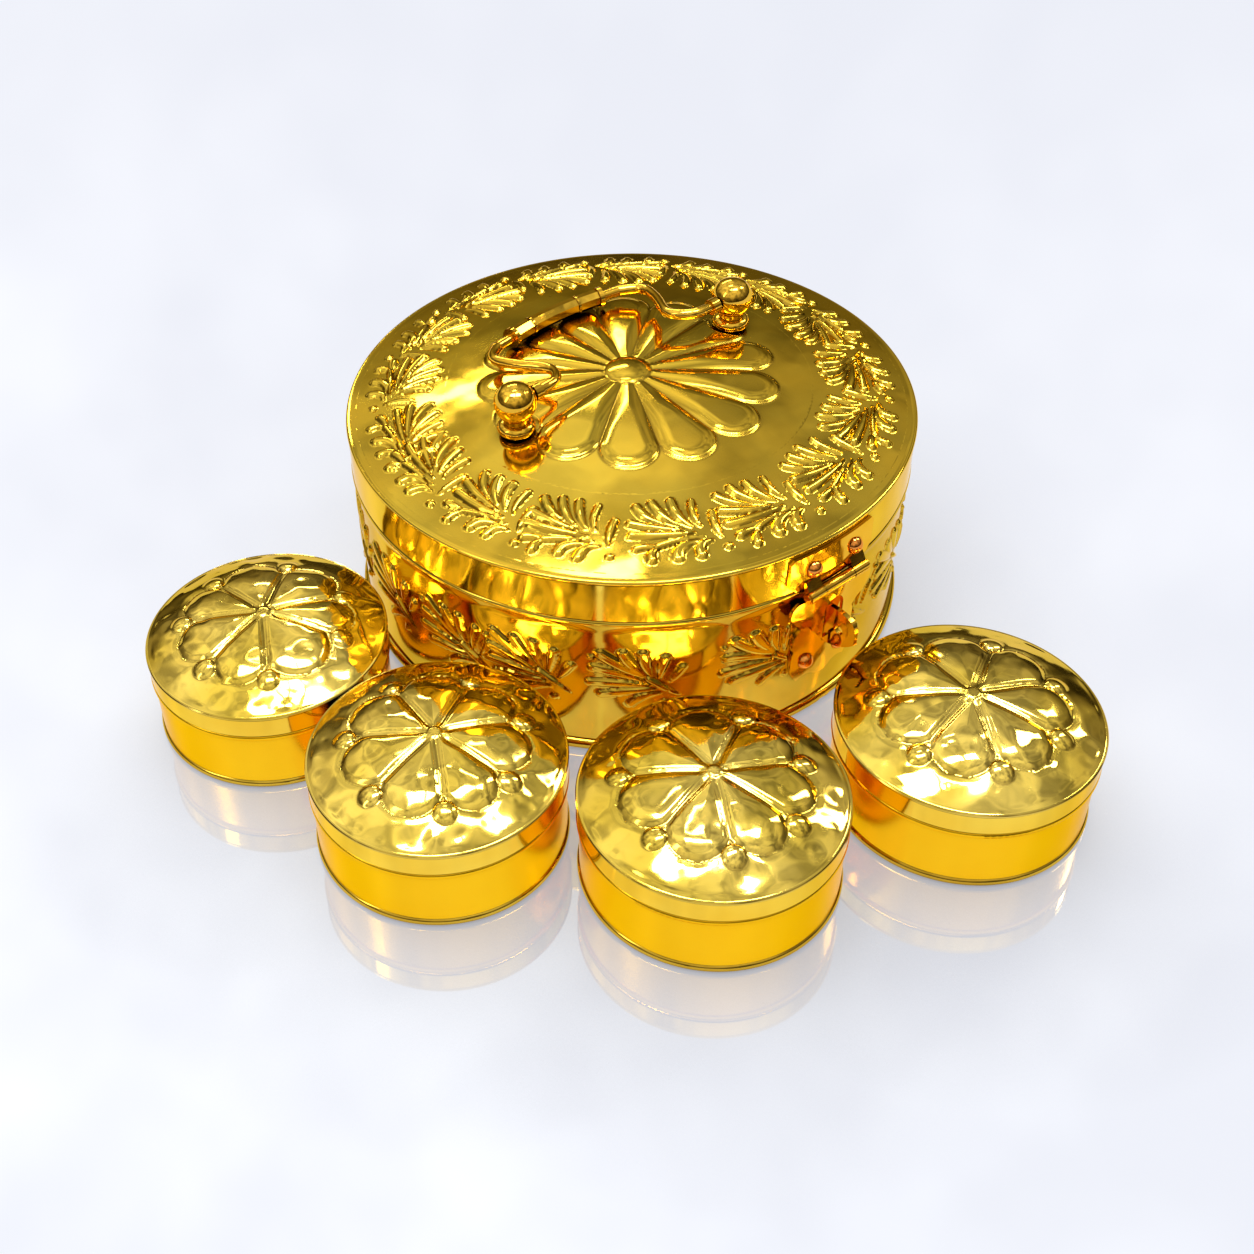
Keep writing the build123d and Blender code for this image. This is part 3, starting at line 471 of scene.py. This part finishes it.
def leaflet(u, v, start, bend, tip, width, height, vein):
    """Height over the points (u, v) of a leaflet that runs from start to tip past bend."""
    raised = np.zeros(len(u))
    around = np.array([start, bend, tip])
    (low_u, low_v), (high_u, high_v) = around.min(0) - width, around.max(0) + width
    near = np.nonzero((u > low_u) & (u < high_u) & (v > low_v) & (v < high_v))[0]
    if len(near) == 0:
        return raised
    t = np.linspace(0, 1, 36)[:, None]
    line = (1 - t) ** 2 * around[0] + 2 * t * (1 - t) * around[1] + t ** 2 * around[2]
    grown = np.sin(np.pi / 2 * np.clip(t[:, 0] * SWELL_PACE, 0, 1)) ** SWELL_CURVE
    swell = width * (STEM_SHARE + (1 - STEM_SHARE) * grown)
    gap = np.hypot(u[near, None] - line[None, :, 0], v[near, None] - line[None, :, 1]) / swell[None, :]
    closest = gap.argmin(1)
    share = gap[np.arange(len(near)), closest]
    body = np.clip(1 - share ** 2, 0, 1) ** ROUNDNESS * (1 - vein * np.exp(-(share / VEIN_SHARE) ** 2))
    raised[near] = height * (LOW_SHARE + (1 - LOW_SHARE) * swell[closest] / width) * body
    return raised


def spray(u, v, leaves, balls, height, hand):
    """Height of one spray: all its leaflets and balls, each a little different by the seeded hand."""
    raised = np.zeros(len(u))
    for start, bend, tip, width, vein in leaves:
        slip = [hand.uniform(-LEAF_SLIP, LEAF_SLIP) for _ in range(4)]
        wide = width * hand.uniform(*WIDTH_CHANGE)
        raised = np.maximum(raised, leaflet(u, v, start, (bend[0] + slip[0], bend[1] + slip[1]),
                                            (tip[0] + slip[2], tip[1] + slip[3]), wide,
                                            height * hand.uniform(*HEIGHT_CHANGE), vein))
    for (ball_u, ball_v), size in balls:
        gap_u = u - ball_u - hand.uniform(-BALL_SLIP, BALL_SLIP)
        gap_v = v - ball_v - hand.uniform(-BALL_SLIP, BALL_SLIP)
        share = np.hypot(gap_u, gap_v) / size
        raised = np.maximum(raised, height * BALL_SHARE * np.clip(1 - share ** 2, 0, 1) ** 0.5)
    return raised


def sprays_round(bearing, across, roots, radius, root_height, leaves, balls, height, seed):
    """Height of a ring of sprays. Bearing in degrees and across in mm say where the points are."""
    hand = random.Random(seed)
    raised = np.zeros(len(bearing))
    for root in roots:
        u = ((root - bearing + 180) % 360 - 180) * math.pi / 180 * radius
        raised = np.maximum(raised, spray(u, across - root_height, leaves, balls, height, hand))
    return raised


# %% Smooth steps, and where the brass gets brown patina and painted shade
UNDERSIDE_SHARE = 0.6  # how much of the relief shows on the sheet's other side
UNDERSIDE_BROWN = 0.2
FOOT_SHARE = 0.45


def ease(value, low, high):
    """0 below low, 1 above high, and smooth between."""
    t = np.clip((value - low) / (high - low), 0, 1)
    return t * t * (3 - 2 * t)


def store_patina_and_shade(piece, amount):
    """Stores how brown each point is, for patina and painted shade."""
    layer = piece.data.attributes.new("patina_and_shade", "FLOAT", "POINT")
    layer.data.foreach_set("value", np.clip(amount, 0, 1).astype(np.float32))


def brown_line(gap, half_width, strength):
    """Brown patina with painted shade along a line, fading with the gap from it."""
    return np.exp(-(gap / half_width) ** 2) * strength


def foot_patina_and_shade(raised, height, depth):
    """Brown patina with painted shade where a leaflet's foot meets the ground: a band of low heights just above
    nothing.
    """
    up = np.clip(raised / (FOOT_SHARE * height), 0, 1)
    return np.where(raised > 0, 1 - up, 0) * depth


# %% [markdown]
# ## The big lid
# The dome is one sheet on the real box. Its outer part carries seventeen leaf sprays, its middle a rosette
# of fourteen petals round a boss. The two parts need different points: many round the edge, and many along
# the petals. So the dome is made as two rings that meet in the plain zone between them, where nothing is
# raised and no seam shows. The outer one also has the rolled edge that grips the skirt.

# %% The dome's own sizes, read from the CAD lid
LID_EDGE_BEAD = 0.85
LID_EDGE_PLACE = (95.15, 72.47)
LID_RISE = 10.8
LID_SHEET = 0.9
EDGE_LAP = 0.1  # how far a dome dips into the bead at its edge
DOME_EDGE_Z = LID_EDGE_PLACE[1] + LID_EDGE_BEAD - EDGE_LAP
LID_BALL = (LID_EDGE_PLACE[0] ** 2 + LID_RISE ** 2) / (2 * LID_RISE)
LID_BALL_Z = DOME_EDGE_Z + LID_RISE - LID_BALL
MEETING_R = 61.5


def dome(radius, ball=LID_BALL, middle=LID_BALL_Z, sink=0.0):
    """Height of the dome at a radius, or of its underside when sink is the sheet's thickness."""
    return middle + np.sqrt((ball - sink) ** 2 - np.asarray(radius) ** 2)


# %% The leaf border
BORDER_ROOTS = [-176, -154, -134, -110, -88, -65.6, -44, -22, -1, 20, 40, 60, 81, 103, 125, 146, 169]
BORDER_ROOT_R = 79.5
BORDER_SCALE_R = 76.0
BORDER_END_R = 91.0
BORDER_HEIGHT = 1.45
# how brown the leaves' feet get: patina with painted shade
BORDER_BROWN = 0.5
BORDER_SEED = 11
BORDER_LEAVES = [
    # start, bend, tip, half width, depth of the vein
    ((5.8, -2.6), (7.6, -7.0), (6.0, -12.0), 1.6, 0.0),
    ((8.8, -3.2), (12.4, -7.8), (12.9, -13.2), 2.05, 0.0),
    ((12.6, -4.2), (17.6, -8.2), (19.4, -13.4), 2.0, 0.0),
    ((16.8, -5.2), (22.2, -7.6), (25.2, -11.8), 1.85, 0.0),
    ((11.4, -2.0), (20.0, -3.8), (27.2, -6.0), 1.75, 0.0),
    ((8.2, -0.4), (18.0, -0.6), (26.6, -1.0), 1.6, 0.0),
    ((6.0, 1.6), (13.0, 1.2), (19.6, 3.6), 1.1, 0.0),
    ((19.6, 3.4), (23.2, 3.4), (25.6, 4.4), 1.5, 0.0),
    ((19.8, 4.0), (22.0, 6.0), (21.8, 8.6), 1.45, 0.0),
    ((7.4, 3.0), (14.2, 2.8), (14.8, 7.8), 1.75, 0.15),
    ((4.2, 3.6), (8.6, 3.4), (8.8, 8.2), 1.65, 0.15),
    ((1.4, 2.8), (2.2, -1.6), (0.4, -6.4), 1.55, 0.0),
]
BORDER_BALLS = [((0.6, 7.2), 1.3)]
LID_PLAIN_R = 92.6
border_rows = np.linspace(MEETING_R, LID_PLAIN_R, 19)
border_outline = [(r, float(dome(r))) for r in border_rows]
border_outline += [(r, float(dome(r, sink=LID_SHEET))) for r in np.linspace(LID_PLAIN_R, MEETING_R, 5)]
border = spun("lid_leaf_border", border_outline, steps=250, finer=2)
points = points_of(border)
radius, bearing = polar(points)
top_side = points[:, 2] > dome(radius, sink=LID_SHEET / 2)
raised = sprays_round(bearing, radius, BORDER_ROOTS, BORDER_SCALE_R, BORDER_ROOT_R, BORDER_LEAVES, BORDER_BALLS,
                      BORDER_HEIGHT, BORDER_SEED)
raised *= 1 - ease(radius, BORDER_END_R, LID_PLAIN_R - 0.1)
raised *= ease(radius, MEETING_R + 0.1, MEETING_R + 1.0)
points[:, 2] = np.where(top_side, dome(radius) + raised, dome(radius, sink=LID_SHEET) + raised * UNDERSIDE_SHARE)
put_points(border, points)
store_patina_and_shade(border, np.where(top_side, foot_patina_and_shade(raised, BORDER_HEIGHT, BORDER_BROWN), UNDERSIDE_BROWN))
finish_piece(border, "lid", embossed_brass, "polished_brass", "lid_top")

# %% The rolled edge that grips the skirt
EDGE_RADII = (LID_PLAIN_R, 93.4, 94.2)
edge_outline = [(r, float(dome(r))) for r in EDGE_RADII]
edge_outline += arc(LID_EDGE_PLACE, LID_EDGE_BEAD, 98, -100, 14)
edge_outline += [(r, float(dome(r, sink=LID_SHEET))) for r in reversed(EDGE_RADII)]
rolled_edge = spun("lid_rolled_edge", edge_outline, steps=180, finer=1)
finish_piece(rolled_edge, "lid", lid_brass, "polished_brass", "lid_top")

# %% Petals
def petals_between(grooves, bearing):
    """For each petal, half its angle, and the angle of every point from its middle line, in radians."""
    for start, end in zip(grooves, grooves[1:] + [grooves[0] + 360]):
        yield math.radians((end - start) / 2), np.radians((bearing - (start + end) / 2 + 180) % 360 - 180)


def inside_petal(radius, angle, half, tip_radius, end_middle):
    """How far inside its outline each point is, for a petal with straight sides and an end that is rounded
    about end_middle."""
    x, y = radius * np.cos(angle), radius * np.sin(angle)
    side = x * math.sin(half) - np.abs(y) * math.cos(half)
    end = tip_radius - end_middle - np.hypot(np.maximum(x - end_middle, 0), y)
    return np.minimum(side, end)


# %% The rosette and its boss
PETAL_GROOVES = [-174, -144, -117, -90.5, -64, -38, -13, 12, 38, 64, 88, 111, 135, 160]
PETAL_END_R = 50.7
PETAL_HEIGHT = 1.32
PETAL_SHOULDER, PETAL_CURVE = 5.2, 2.2
PETAL_INNER_SHARE = 0.35  # a petal's height near the boss, as a share of its full height
PETAL_RISE_RADII = (8, 34)
RIM_HEIGHT, RIM_INSIDE, RIM_WIDTH = 0.30, 0.75, 0.45  # the raised line along the petals' round ends
RIM_RADII = (36, 46)
BOSS_R, BOSS_RISE = 7.6, 1.5
POST_X, POST_FOOT_R = 47.5, 7.0


def rosette(radius, bearing):
    """Height of the petals between the grooves and of the boss, and brownness along their outlines: patina with
    painted shade.
    """
    inside = np.full(len(radius), -9.0)
    for half, angle in petals_between(PETAL_GROOVES, bearing):
        end_middle = PETAL_END_R / (1 + math.sin(half))
        inside = np.where(np.abs(angle) <= half, inside_petal(radius, angle, half, PETAL_END_R, end_middle), inside)
    pillow = 1 - (1 - np.clip(inside / PETAL_SHOULDER, 0, 1)) ** PETAL_CURVE
    rim = RIM_HEIGHT * np.exp(-((inside - RIM_INSIDE) / RIM_WIDTH) ** 2) * ease(radius, *RIM_RADII)
    reach = PETAL_INNER_SHARE + (1 - PETAL_INNER_SHARE) * ease(radius, *PETAL_RISE_RADII)
    petals = (PETAL_HEIGHT * reach * pillow + rim) * (inside > 0) * ease(radius, BOSS_R - 0.6, BOSS_R + 1.0)
    boss = BOSS_RISE * np.sqrt(np.clip(1 - (radius / BOSS_R) ** 2, 0, 1)) ** 1.1
    # Brown patina with painted shade along the petals' outlines and round the boss
    round_petals = brown_line(inside, 0.55, 0.6) * ease(radius, BOSS_R, BOSS_R + 2)
    round_boss = brown_line(radius - BOSS_R, 0.5, 0.7)
    return np.maximum(petals, boss), np.maximum(round_petals, round_boss)


rosette_outline = [(r, float(dome(r))) for r in np.linspace(0, MEETING_R, 28)]
rosette_outline += [(r, float(dome(r, sink=LID_SHEET))) for r in np.linspace(MEETING_R, 0, 6)]
disc = spun("lid_rosette", rosette_outline, steps=184, to_axis=True, finer=2)
points = points_of(disc)
radius, bearing = polar(points)
top_side = points[:, 2] > dome(radius, sink=LID_SHEET * 0.6)
raised, brown = rosette(radius, bearing)
post_gap = np.hypot(np.abs(points[:, 0]) - POST_X, points[:, 1])
raised *= ease(post_gap, POST_FOOT_R, POST_FOOT_R + 1.5)
points[:, 2] = np.where(top_side, dome(radius) + raised, dome(radius, sink=LID_SHEET) + raised * UNDERSIDE_SHARE)
put_points(disc, points)
store_patina_and_shade(disc, np.where(top_side, brown, UNDERSIDE_BROWN))
finish_piece(disc, "lid", embossed_brass, "polished_brass", "lid_top")


# %% [markdown]
# ## The wall and its leaf frieze
# The wall is a rolled sheet with a thin bead pressed out near its top, and above the bead a neck that the
# lid slips over. Its frieze is chased in the same way as the lid's border, with taller sprays that lean
# to the left. Again the part with leaves is its own ring of dense points, and the plain parts above and
# below it are spun with few. Leaves stop short of the hasp's plate and of the rear hinge's leaf.

# %% The wall's own sizes
WALL_R, WALL_SHEET, WALL_FOOT_Z = 94.6, 0.9, 3.82
WALL_BEAD_Z, WALL_BEAD_R = 55.8, 1.3
NECK_R, NECK_SHEET, NECK_TOP_Z = 94.0, 0.8, 70.0
FRIEZE_LOW_Z, FRIEZE_HIGH_Z = 17.5, 47.5

# %% The frieze
FRIEZE_ROOTS = [-161, -144.5, -123.5, -98] + [-98 + 19.8 * k for k in range(1, 15)]
FRIEZE_ROOT_Z = 27.0
FRIEZE_HEIGHT = 1.3
# how brown the leaves' feet get: patina with painted shade
FRIEZE_BROWN = 0.85
FRIEZE_SEED = 23
PLATE_NEAR, PLATE_FAR = 0.3, 1.6  # mm past a plate's edge, where the leaves end and where they are whole
FRIEZE_LEAVES = [
    # start, bend, tip, half width, depth of the vein
    ((-4.2, -2.4), (0.5, 0.6), (6.0, 5.0), 1.1, 0.0),
    ((7.4, 6.2), (14.4, 10.8), (20.8, 16.0), 2.1, 0.25),
    ((6.6, 6.6), (11.2, 11.4), (13.6, 16.2), 2.05, 0.25),
    ((4.8, 6.4), (7.2, 10.8), (7.2, 15.8), 1.95, 0.2),
    ((2.2, 5.4), (1.8, 10.0), (0.6, 14.2), 1.75, 0.1),
    ((7.8, 4.6), (16.0, 9.0), (22.8, 9.4), 2.0, 0.3),
    ((5.4, 2.4), (14.0, 4.2), (24.2, 3.6), 1.75, 0.2),
    ((3.6, 0.6), (12.0, 0.6), (20.4, -1.2), 1.75, 0.2),
    ((2.0, -1.2), (8.0, -1.4), (10.8, -5.2), 1.65, 0.2),
    ((-1.0, 3.4), (-2.8, 6.2), (-4.8, 9.6), 1.5, 0.0),
]
FRIEZE_BALLS = [((0.8, -5.4), 1.4), ((23.6, 14.0), 1.1)]
frieze_outline = [(WALL_R, z) for z in np.linspace(FRIEZE_LOW_Z, FRIEZE_HIGH_Z, 18)]
frieze_outline += [(WALL_R - WALL_SHEET, z) for z in np.linspace(FRIEZE_HIGH_Z, FRIEZE_LOW_Z, 5)]
frieze = spun("case_leaf_frieze", frieze_outline, steps=260, finer=2)
points = points_of(frieze)
radius, bearing = polar(points)
level = points[:, 2]
outside = radius > WALL_R - WALL_SHEET / 2
raised = sprays_round(bearing, level, FRIEZE_ROOTS, WALL_R, FRIEZE_ROOT_Z, FRIEZE_LEAVES, FRIEZE_BALLS,
                      FRIEZE_HEIGHT, FRIEZE_SEED)
for plate, front in (("staple_plate", -90), ("rear_case_leaf", 90)):
    low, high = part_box(plate)
    half = high.x / MM
    aside = np.abs((bearing - front + 180) % 360 - 180) * math.pi / 180 * WALL_R
    clear_side = ease(aside, half + PLATE_NEAR, half + PLATE_FAR)
    clear_below = 1 - ease(level, low.z / MM - PLATE_FAR, low.z / MM - PLATE_NEAR)
    raised *= np.maximum(clear_side, clear_below)
raised *= ease(level, FRIEZE_LOW_Z, FRIEZE_LOW_Z + 1) * (1 - ease(level, FRIEZE_HIGH_Z - 1, FRIEZE_HIGH_Z))
outward = points[:, :2] / radius[:, None]
points[:, :2] += outward * (raised * np.where(outside, 1.0, UNDERSIDE_SHARE))[:, None]
put_points(frieze, points)
store_patina_and_shade(frieze, np.where(outside, foot_patina_and_shade(raised, FRIEZE_HEIGHT, FRIEZE_BROWN), UNDERSIDE_BROWN))
finish_piece(frieze, "case", frieze_brass, "polished_brass", "case_wall")

# %% The plain wall below and above the frieze
WALL_INNER_R, NECK_INNER_R = WALL_R - WALL_SHEET, NECK_R - NECK_SHEET
BEAD_LOW_Z, BEAD_HIGH_Z = WALL_BEAD_Z - WALL_BEAD_R, WALL_BEAD_Z + WALL_BEAD_R
LIP_EDGE = 0.2
lower_outline = [(WALL_R, WALL_FOOT_Z), (WALL_R, FRIEZE_LOW_Z), (WALL_INNER_R, FRIEZE_LOW_Z),
                 (WALL_INNER_R, WALL_FOOT_Z)]
wall_low = spun("case_wall_low", lower_outline, steps=180, finer=1)
finish_piece(wall_low, "case", wall_brass, "polished_brass", "case_wall")
upper_outline = [(WALL_R, FRIEZE_HIGH_Z), (WALL_R, BEAD_LOW_Z - 0.4)]
upper_outline += arc((WALL_R, WALL_BEAD_Z), WALL_BEAD_R, -78, 62, 13)
upper_outline += [(NECK_R, BEAD_HIGH_Z + 0.35), (NECK_R, NECK_TOP_Z - LIP_EDGE), (NECK_R - LIP_EDGE, NECK_TOP_Z),
                  (NECK_INNER_R + LIP_EDGE, NECK_TOP_Z), (NECK_INNER_R, NECK_TOP_Z - LIP_EDGE),
                  (NECK_INNER_R, BEAD_HIGH_Z), (WALL_R, WALL_BEAD_Z), (WALL_INNER_R, BEAD_LOW_Z),
                  (WALL_INNER_R, FRIEZE_HIGH_Z)]
wall_high = spun("case_wall_high", upper_outline, steps=180, finer=1)
finish_piece(wall_high, "case", wall_brass, "polished_brass", "case_wall")


# %% [markdown]
# ## The small lids
# Each small lid has seven petals beaten up from inside, with a crisp groove between them that forks round
# the petals' ends, and a little boss in each fork. They were beaten by hand and quickly, so no two petals
# are equally wide and the whole dome is dented. All four are spun from one cross-section, and each gets
# its own petals and dents.

# %% One small lid
CUP_EDGE_BEAD = 0.6
CUP_EDGE_PLACE = (39.3, 31.42)
CUP_RISE = 9.2
CUP_SHEET = 0.6
CUP_DOME_EDGE_Z = CUP_EDGE_PLACE[1] + CUP_EDGE_BEAD - EDGE_LAP
CUP_BALL = (CUP_EDGE_PLACE[0] ** 2 + CUP_RISE ** 2) / (2 * CUP_RISE)
CUP_BALL_Z = CUP_DOME_EDGE_Z + CUP_RISE - CUP_BALL
CUP_PETAL_END_R = 29.6
CUP_FORK_R = 22.3
CUP_PETAL_HEIGHT, CUP_SHOULDER = 1.1, 7.5
CUP_INNER_SHARE, CUP_RISE_RADII = 0.3, (2, 20)
CUP_BOSS_R, CUP_BOSS_AT, CUP_BOSS_RISE = 3.5, 27.6, 1.15
CUP_FLAT_R, CUP_FLAT_RISE = 2.2, 0.35
CUP_GROOVE_HALF, CUP_GROOVE = 1.9, 0.50
CUP_GROOVE_FLOOR = 0.9  # a groove's floor is flat from this share of its depth
CUP_GROOVE_OUTSIDE = 0.35  # the depth outside a petal's outline, as a share of that inside
CUP_GROOVE_RADII = (1.5, 5)
CUP_LAP = 0.4  # how far the neighbouring petals' grooves lap over each other, in radians
DENT_REACH, DENT_END_R = 38.5, 37.0
DENT_INNER_SHARE, DENT_RADII = 0.4, (6, 22)
DENTS = [
    # count, greatest depth, least and greatest half width, in mm
    (160, 0.30, 2.2, 4.2),
    (260, 0.075, 0.9, 1.8),
]
DENT_SEED = 40
SMALL_LIDS = {
    "cup_a": [-119, -57.5, -16, 42, 98, 143, 194],
    "cup_b": [-120, -74, -22, 30, 84, 138, 190],
    "cup_c": [-121.5, -75, -25, 28.6, 83.7, 136.7, 190],
    "cup_d": [-122, -72, -24, 27, 80, 135, 188],
}


def small_petals(points, lines):
    """Height of seven petals between the given bearings, with grooves and bosses, and brownness along their
    outlines: patina with painted shade.
    """
    radius, bearing = polar(points)
    raised, brown = np.zeros(len(points)), np.zeros(len(points))
    for half, angle in petals_between(lines, bearing):
        reach = 2 * CUP_PETAL_END_R - 2 * CUP_FORK_R * math.cos(half)
        end_middle = (CUP_PETAL_END_R ** 2 - CUP_FORK_R ** 2) / reach
        inside = inside_petal(radius, angle, half, CUP_PETAL_END_R, end_middle)
        pad = 1 - (1 - np.clip(inside / CUP_SHOULDER, 0, 1)) ** 2
        rise = CUP_INNER_SHARE + (1 - CUP_INNER_SHARE) * ease(radius, *CUP_RISE_RADII)
        petal = np.where(inside > 0, CUP_PETAL_HEIGHT * pad * rise, 0)
        fold = np.minimum(np.clip(1 - np.abs(inside) / CUP_GROOVE_HALF, 0, 1), CUP_GROOVE_FLOOR)
        fold *= np.where(inside < 0, CUP_GROOVE_OUTSIDE, 1.0)
        level = petal - CUP_GROOVE * fold * ease(radius, *CUP_GROOVE_RADII)
        here = np.abs(angle) <= half + CUP_LAP
        raised = np.where(here & (np.abs(level) > np.abs(raised)), level, raised)
        # Brown patina with painted shade just inside each petal's outline
        brown = np.maximum(brown, np.where(here, brown_line(inside - 0.5, 0.3, 0.35), 0))
    for fork in lines:
        boss_x = CUP_BOSS_AT * math.cos(math.radians(fork))
        boss_y = CUP_BOSS_AT * math.sin(math.radians(fork))
        share = np.hypot(points[:, 0] - boss_x, points[:, 1] - boss_y) / CUP_BOSS_R
        boss = CUP_BOSS_RISE * np.clip(1 - share ** 2.2, 0, 1) ** 0.75
        raised = np.where(share < 1, np.maximum(raised, boss), raised)
        # Brown patina with painted shade round each boss's foot
        brown = np.maximum(brown, brown_line(share - 1.04, 0.10, 0.5))
    off_flat = ease(radius, CUP_FLAT_R - 0.4, CUP_FLAT_R + 0.2)
    return raised * off_flat + CUP_FLAT_RISE * (1 - off_flat), brown


def dents(points, count, depth, narrow, broad, hand):
    """Shallow beaten dents and swellings spread over a small lid, from narrow to broad."""
    sunk = np.zeros(len(points))
    for _ in range(count):
        out, turn_by = DENT_REACH * math.sqrt(hand.random()), hand.uniform(0, 2 * math.pi)
        wide = hand.uniform(narrow, broad)
        gap = np.hypot(points[:, 0] - out * math.cos(turn_by), points[:, 1] - out * math.sin(turn_by)) / wide
        sunk += hand.uniform(-1, 1) * depth * np.exp(-gap ** 2)
    return sunk


# %% The four small lids
CUP_PLAIN_R = 38.4
cup_outline = [(r, float(dome(r, CUP_BALL, CUP_BALL_Z))) for r in np.linspace(0, CUP_PLAIN_R, 25)]
cup_outline += arc(CUP_EDGE_PLACE, CUP_EDGE_BEAD, 108, -110, 6)
cup_outline += [(r, float(dome(r, CUP_BALL, CUP_BALL_Z, CUP_SHEET))) for r in np.linspace(CUP_PLAIN_R - 0.2, 0, 6)]
for number, (cup, lines) in enumerate(SMALL_LIDS.items()):
    lid = spun(f"{cup}_petal_lid", cup_outline, steps=108, to_axis=True, finer=2)
    points = points_of(lid)
    radius, _ = polar(points)
    on_dome = radius < CUP_PLAIN_R
    flat = np.minimum(radius, CUP_PLAIN_R)
    top_side = points[:, 2] > dome(flat, CUP_BALL, CUP_BALL_Z, CUP_SHEET * 0.6)
    raised, brown = small_petals(points, lines)
    hand = random.Random(DENT_SEED + number)
    beaten = sum(dents(points, *kind, hand) for kind in DENTS)
    beaten *= DENT_INNER_SHARE + (1 - DENT_INNER_SHARE) * ease(radius, *DENT_RADII)
    raised = (raised + beaten) * (1 - ease(radius, DENT_END_R, CUP_PLAIN_R - 0.1))
    upper = dome(flat, CUP_BALL, CUP_BALL_Z) + raised
    lower = dome(flat, CUP_BALL, CUP_BALL_Z, CUP_SHEET) + raised * UNDERSIDE_SHARE
    points[:, 2] = np.where(on_dome, np.where(top_side, upper, lower), points[:, 2])
    low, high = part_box(f"{cup}_lid_top")
    points[:, 0] += (low.x + high.x) / 2 / MM
    points[:, 1] += (low.y + high.y) / 2 / MM
    put_points(lid, points)
    store_patina_and_shade(lid, np.where(top_side, brown, UNDERSIDE_BROWN))
    finish_piece(lid, f"{cup}_lid", small_lid_brass, "polished_brass", f"{cup}_lid_top")


# %% [markdown]
# ## Finishes on the CAD pieces
# The rings, skirts, hinges, rivets and the cast handle already have their true shape, so they keep it and
# only get a finish. The handle and its posts are cast and filed, the plates are cut from sheet, the
# rivets are copper, and the small boxes' walls are left satin.

# %% A finish for every CAD node that still shows
FINISH_OF = {
    "case_foot_ring": wall_brass, "case_floor": inside_brass, "case_wall": wall_brass, "lid_skirt": skirt_brass,
    "lid_top": lid_brass, "post_left": cast_brass, "post_right": cast_brass, "post_nuts": cast_brass,
    "bail": cast_brass, "hasp_plate": fitting_brass, "hasp_rivets": rivet_copper, "hasp_pin": fitting_brass,
    "hasp_flap": fitting_brass, "staple_plate": fitting_brass, "staple_fin": fitting_brass,
    "staple_rivets": rivet_copper, "rear_lid_leaf": fitting_brass, "rear_lid_rivets": rivet_copper,
    "rear_pin": fitting_brass, "rear_case_leaf": fitting_brass, "rear_case_rivets": rivet_copper,
}
for cup in SMALL_LIDS:
    FINISH_OF.update({f"{cup}_foot_ring": wall_brass, f"{cup}_floor": inside_brass, f"{cup}_wall": satin_brass,
                      f"{cup}_lid_skirt": skirt_brass, f"{cup}_lid_top": small_lid_brass})
for name, node in nodes.items():
    look = FINISH_OF[name]
    if node.data.materials:
        for i in range(len(node.data.materials)):
            node.data.materials[i] = look
    else:
        node.data.materials.append(look)
print("finished", len(FINISH_OF), "of", len(nodes))
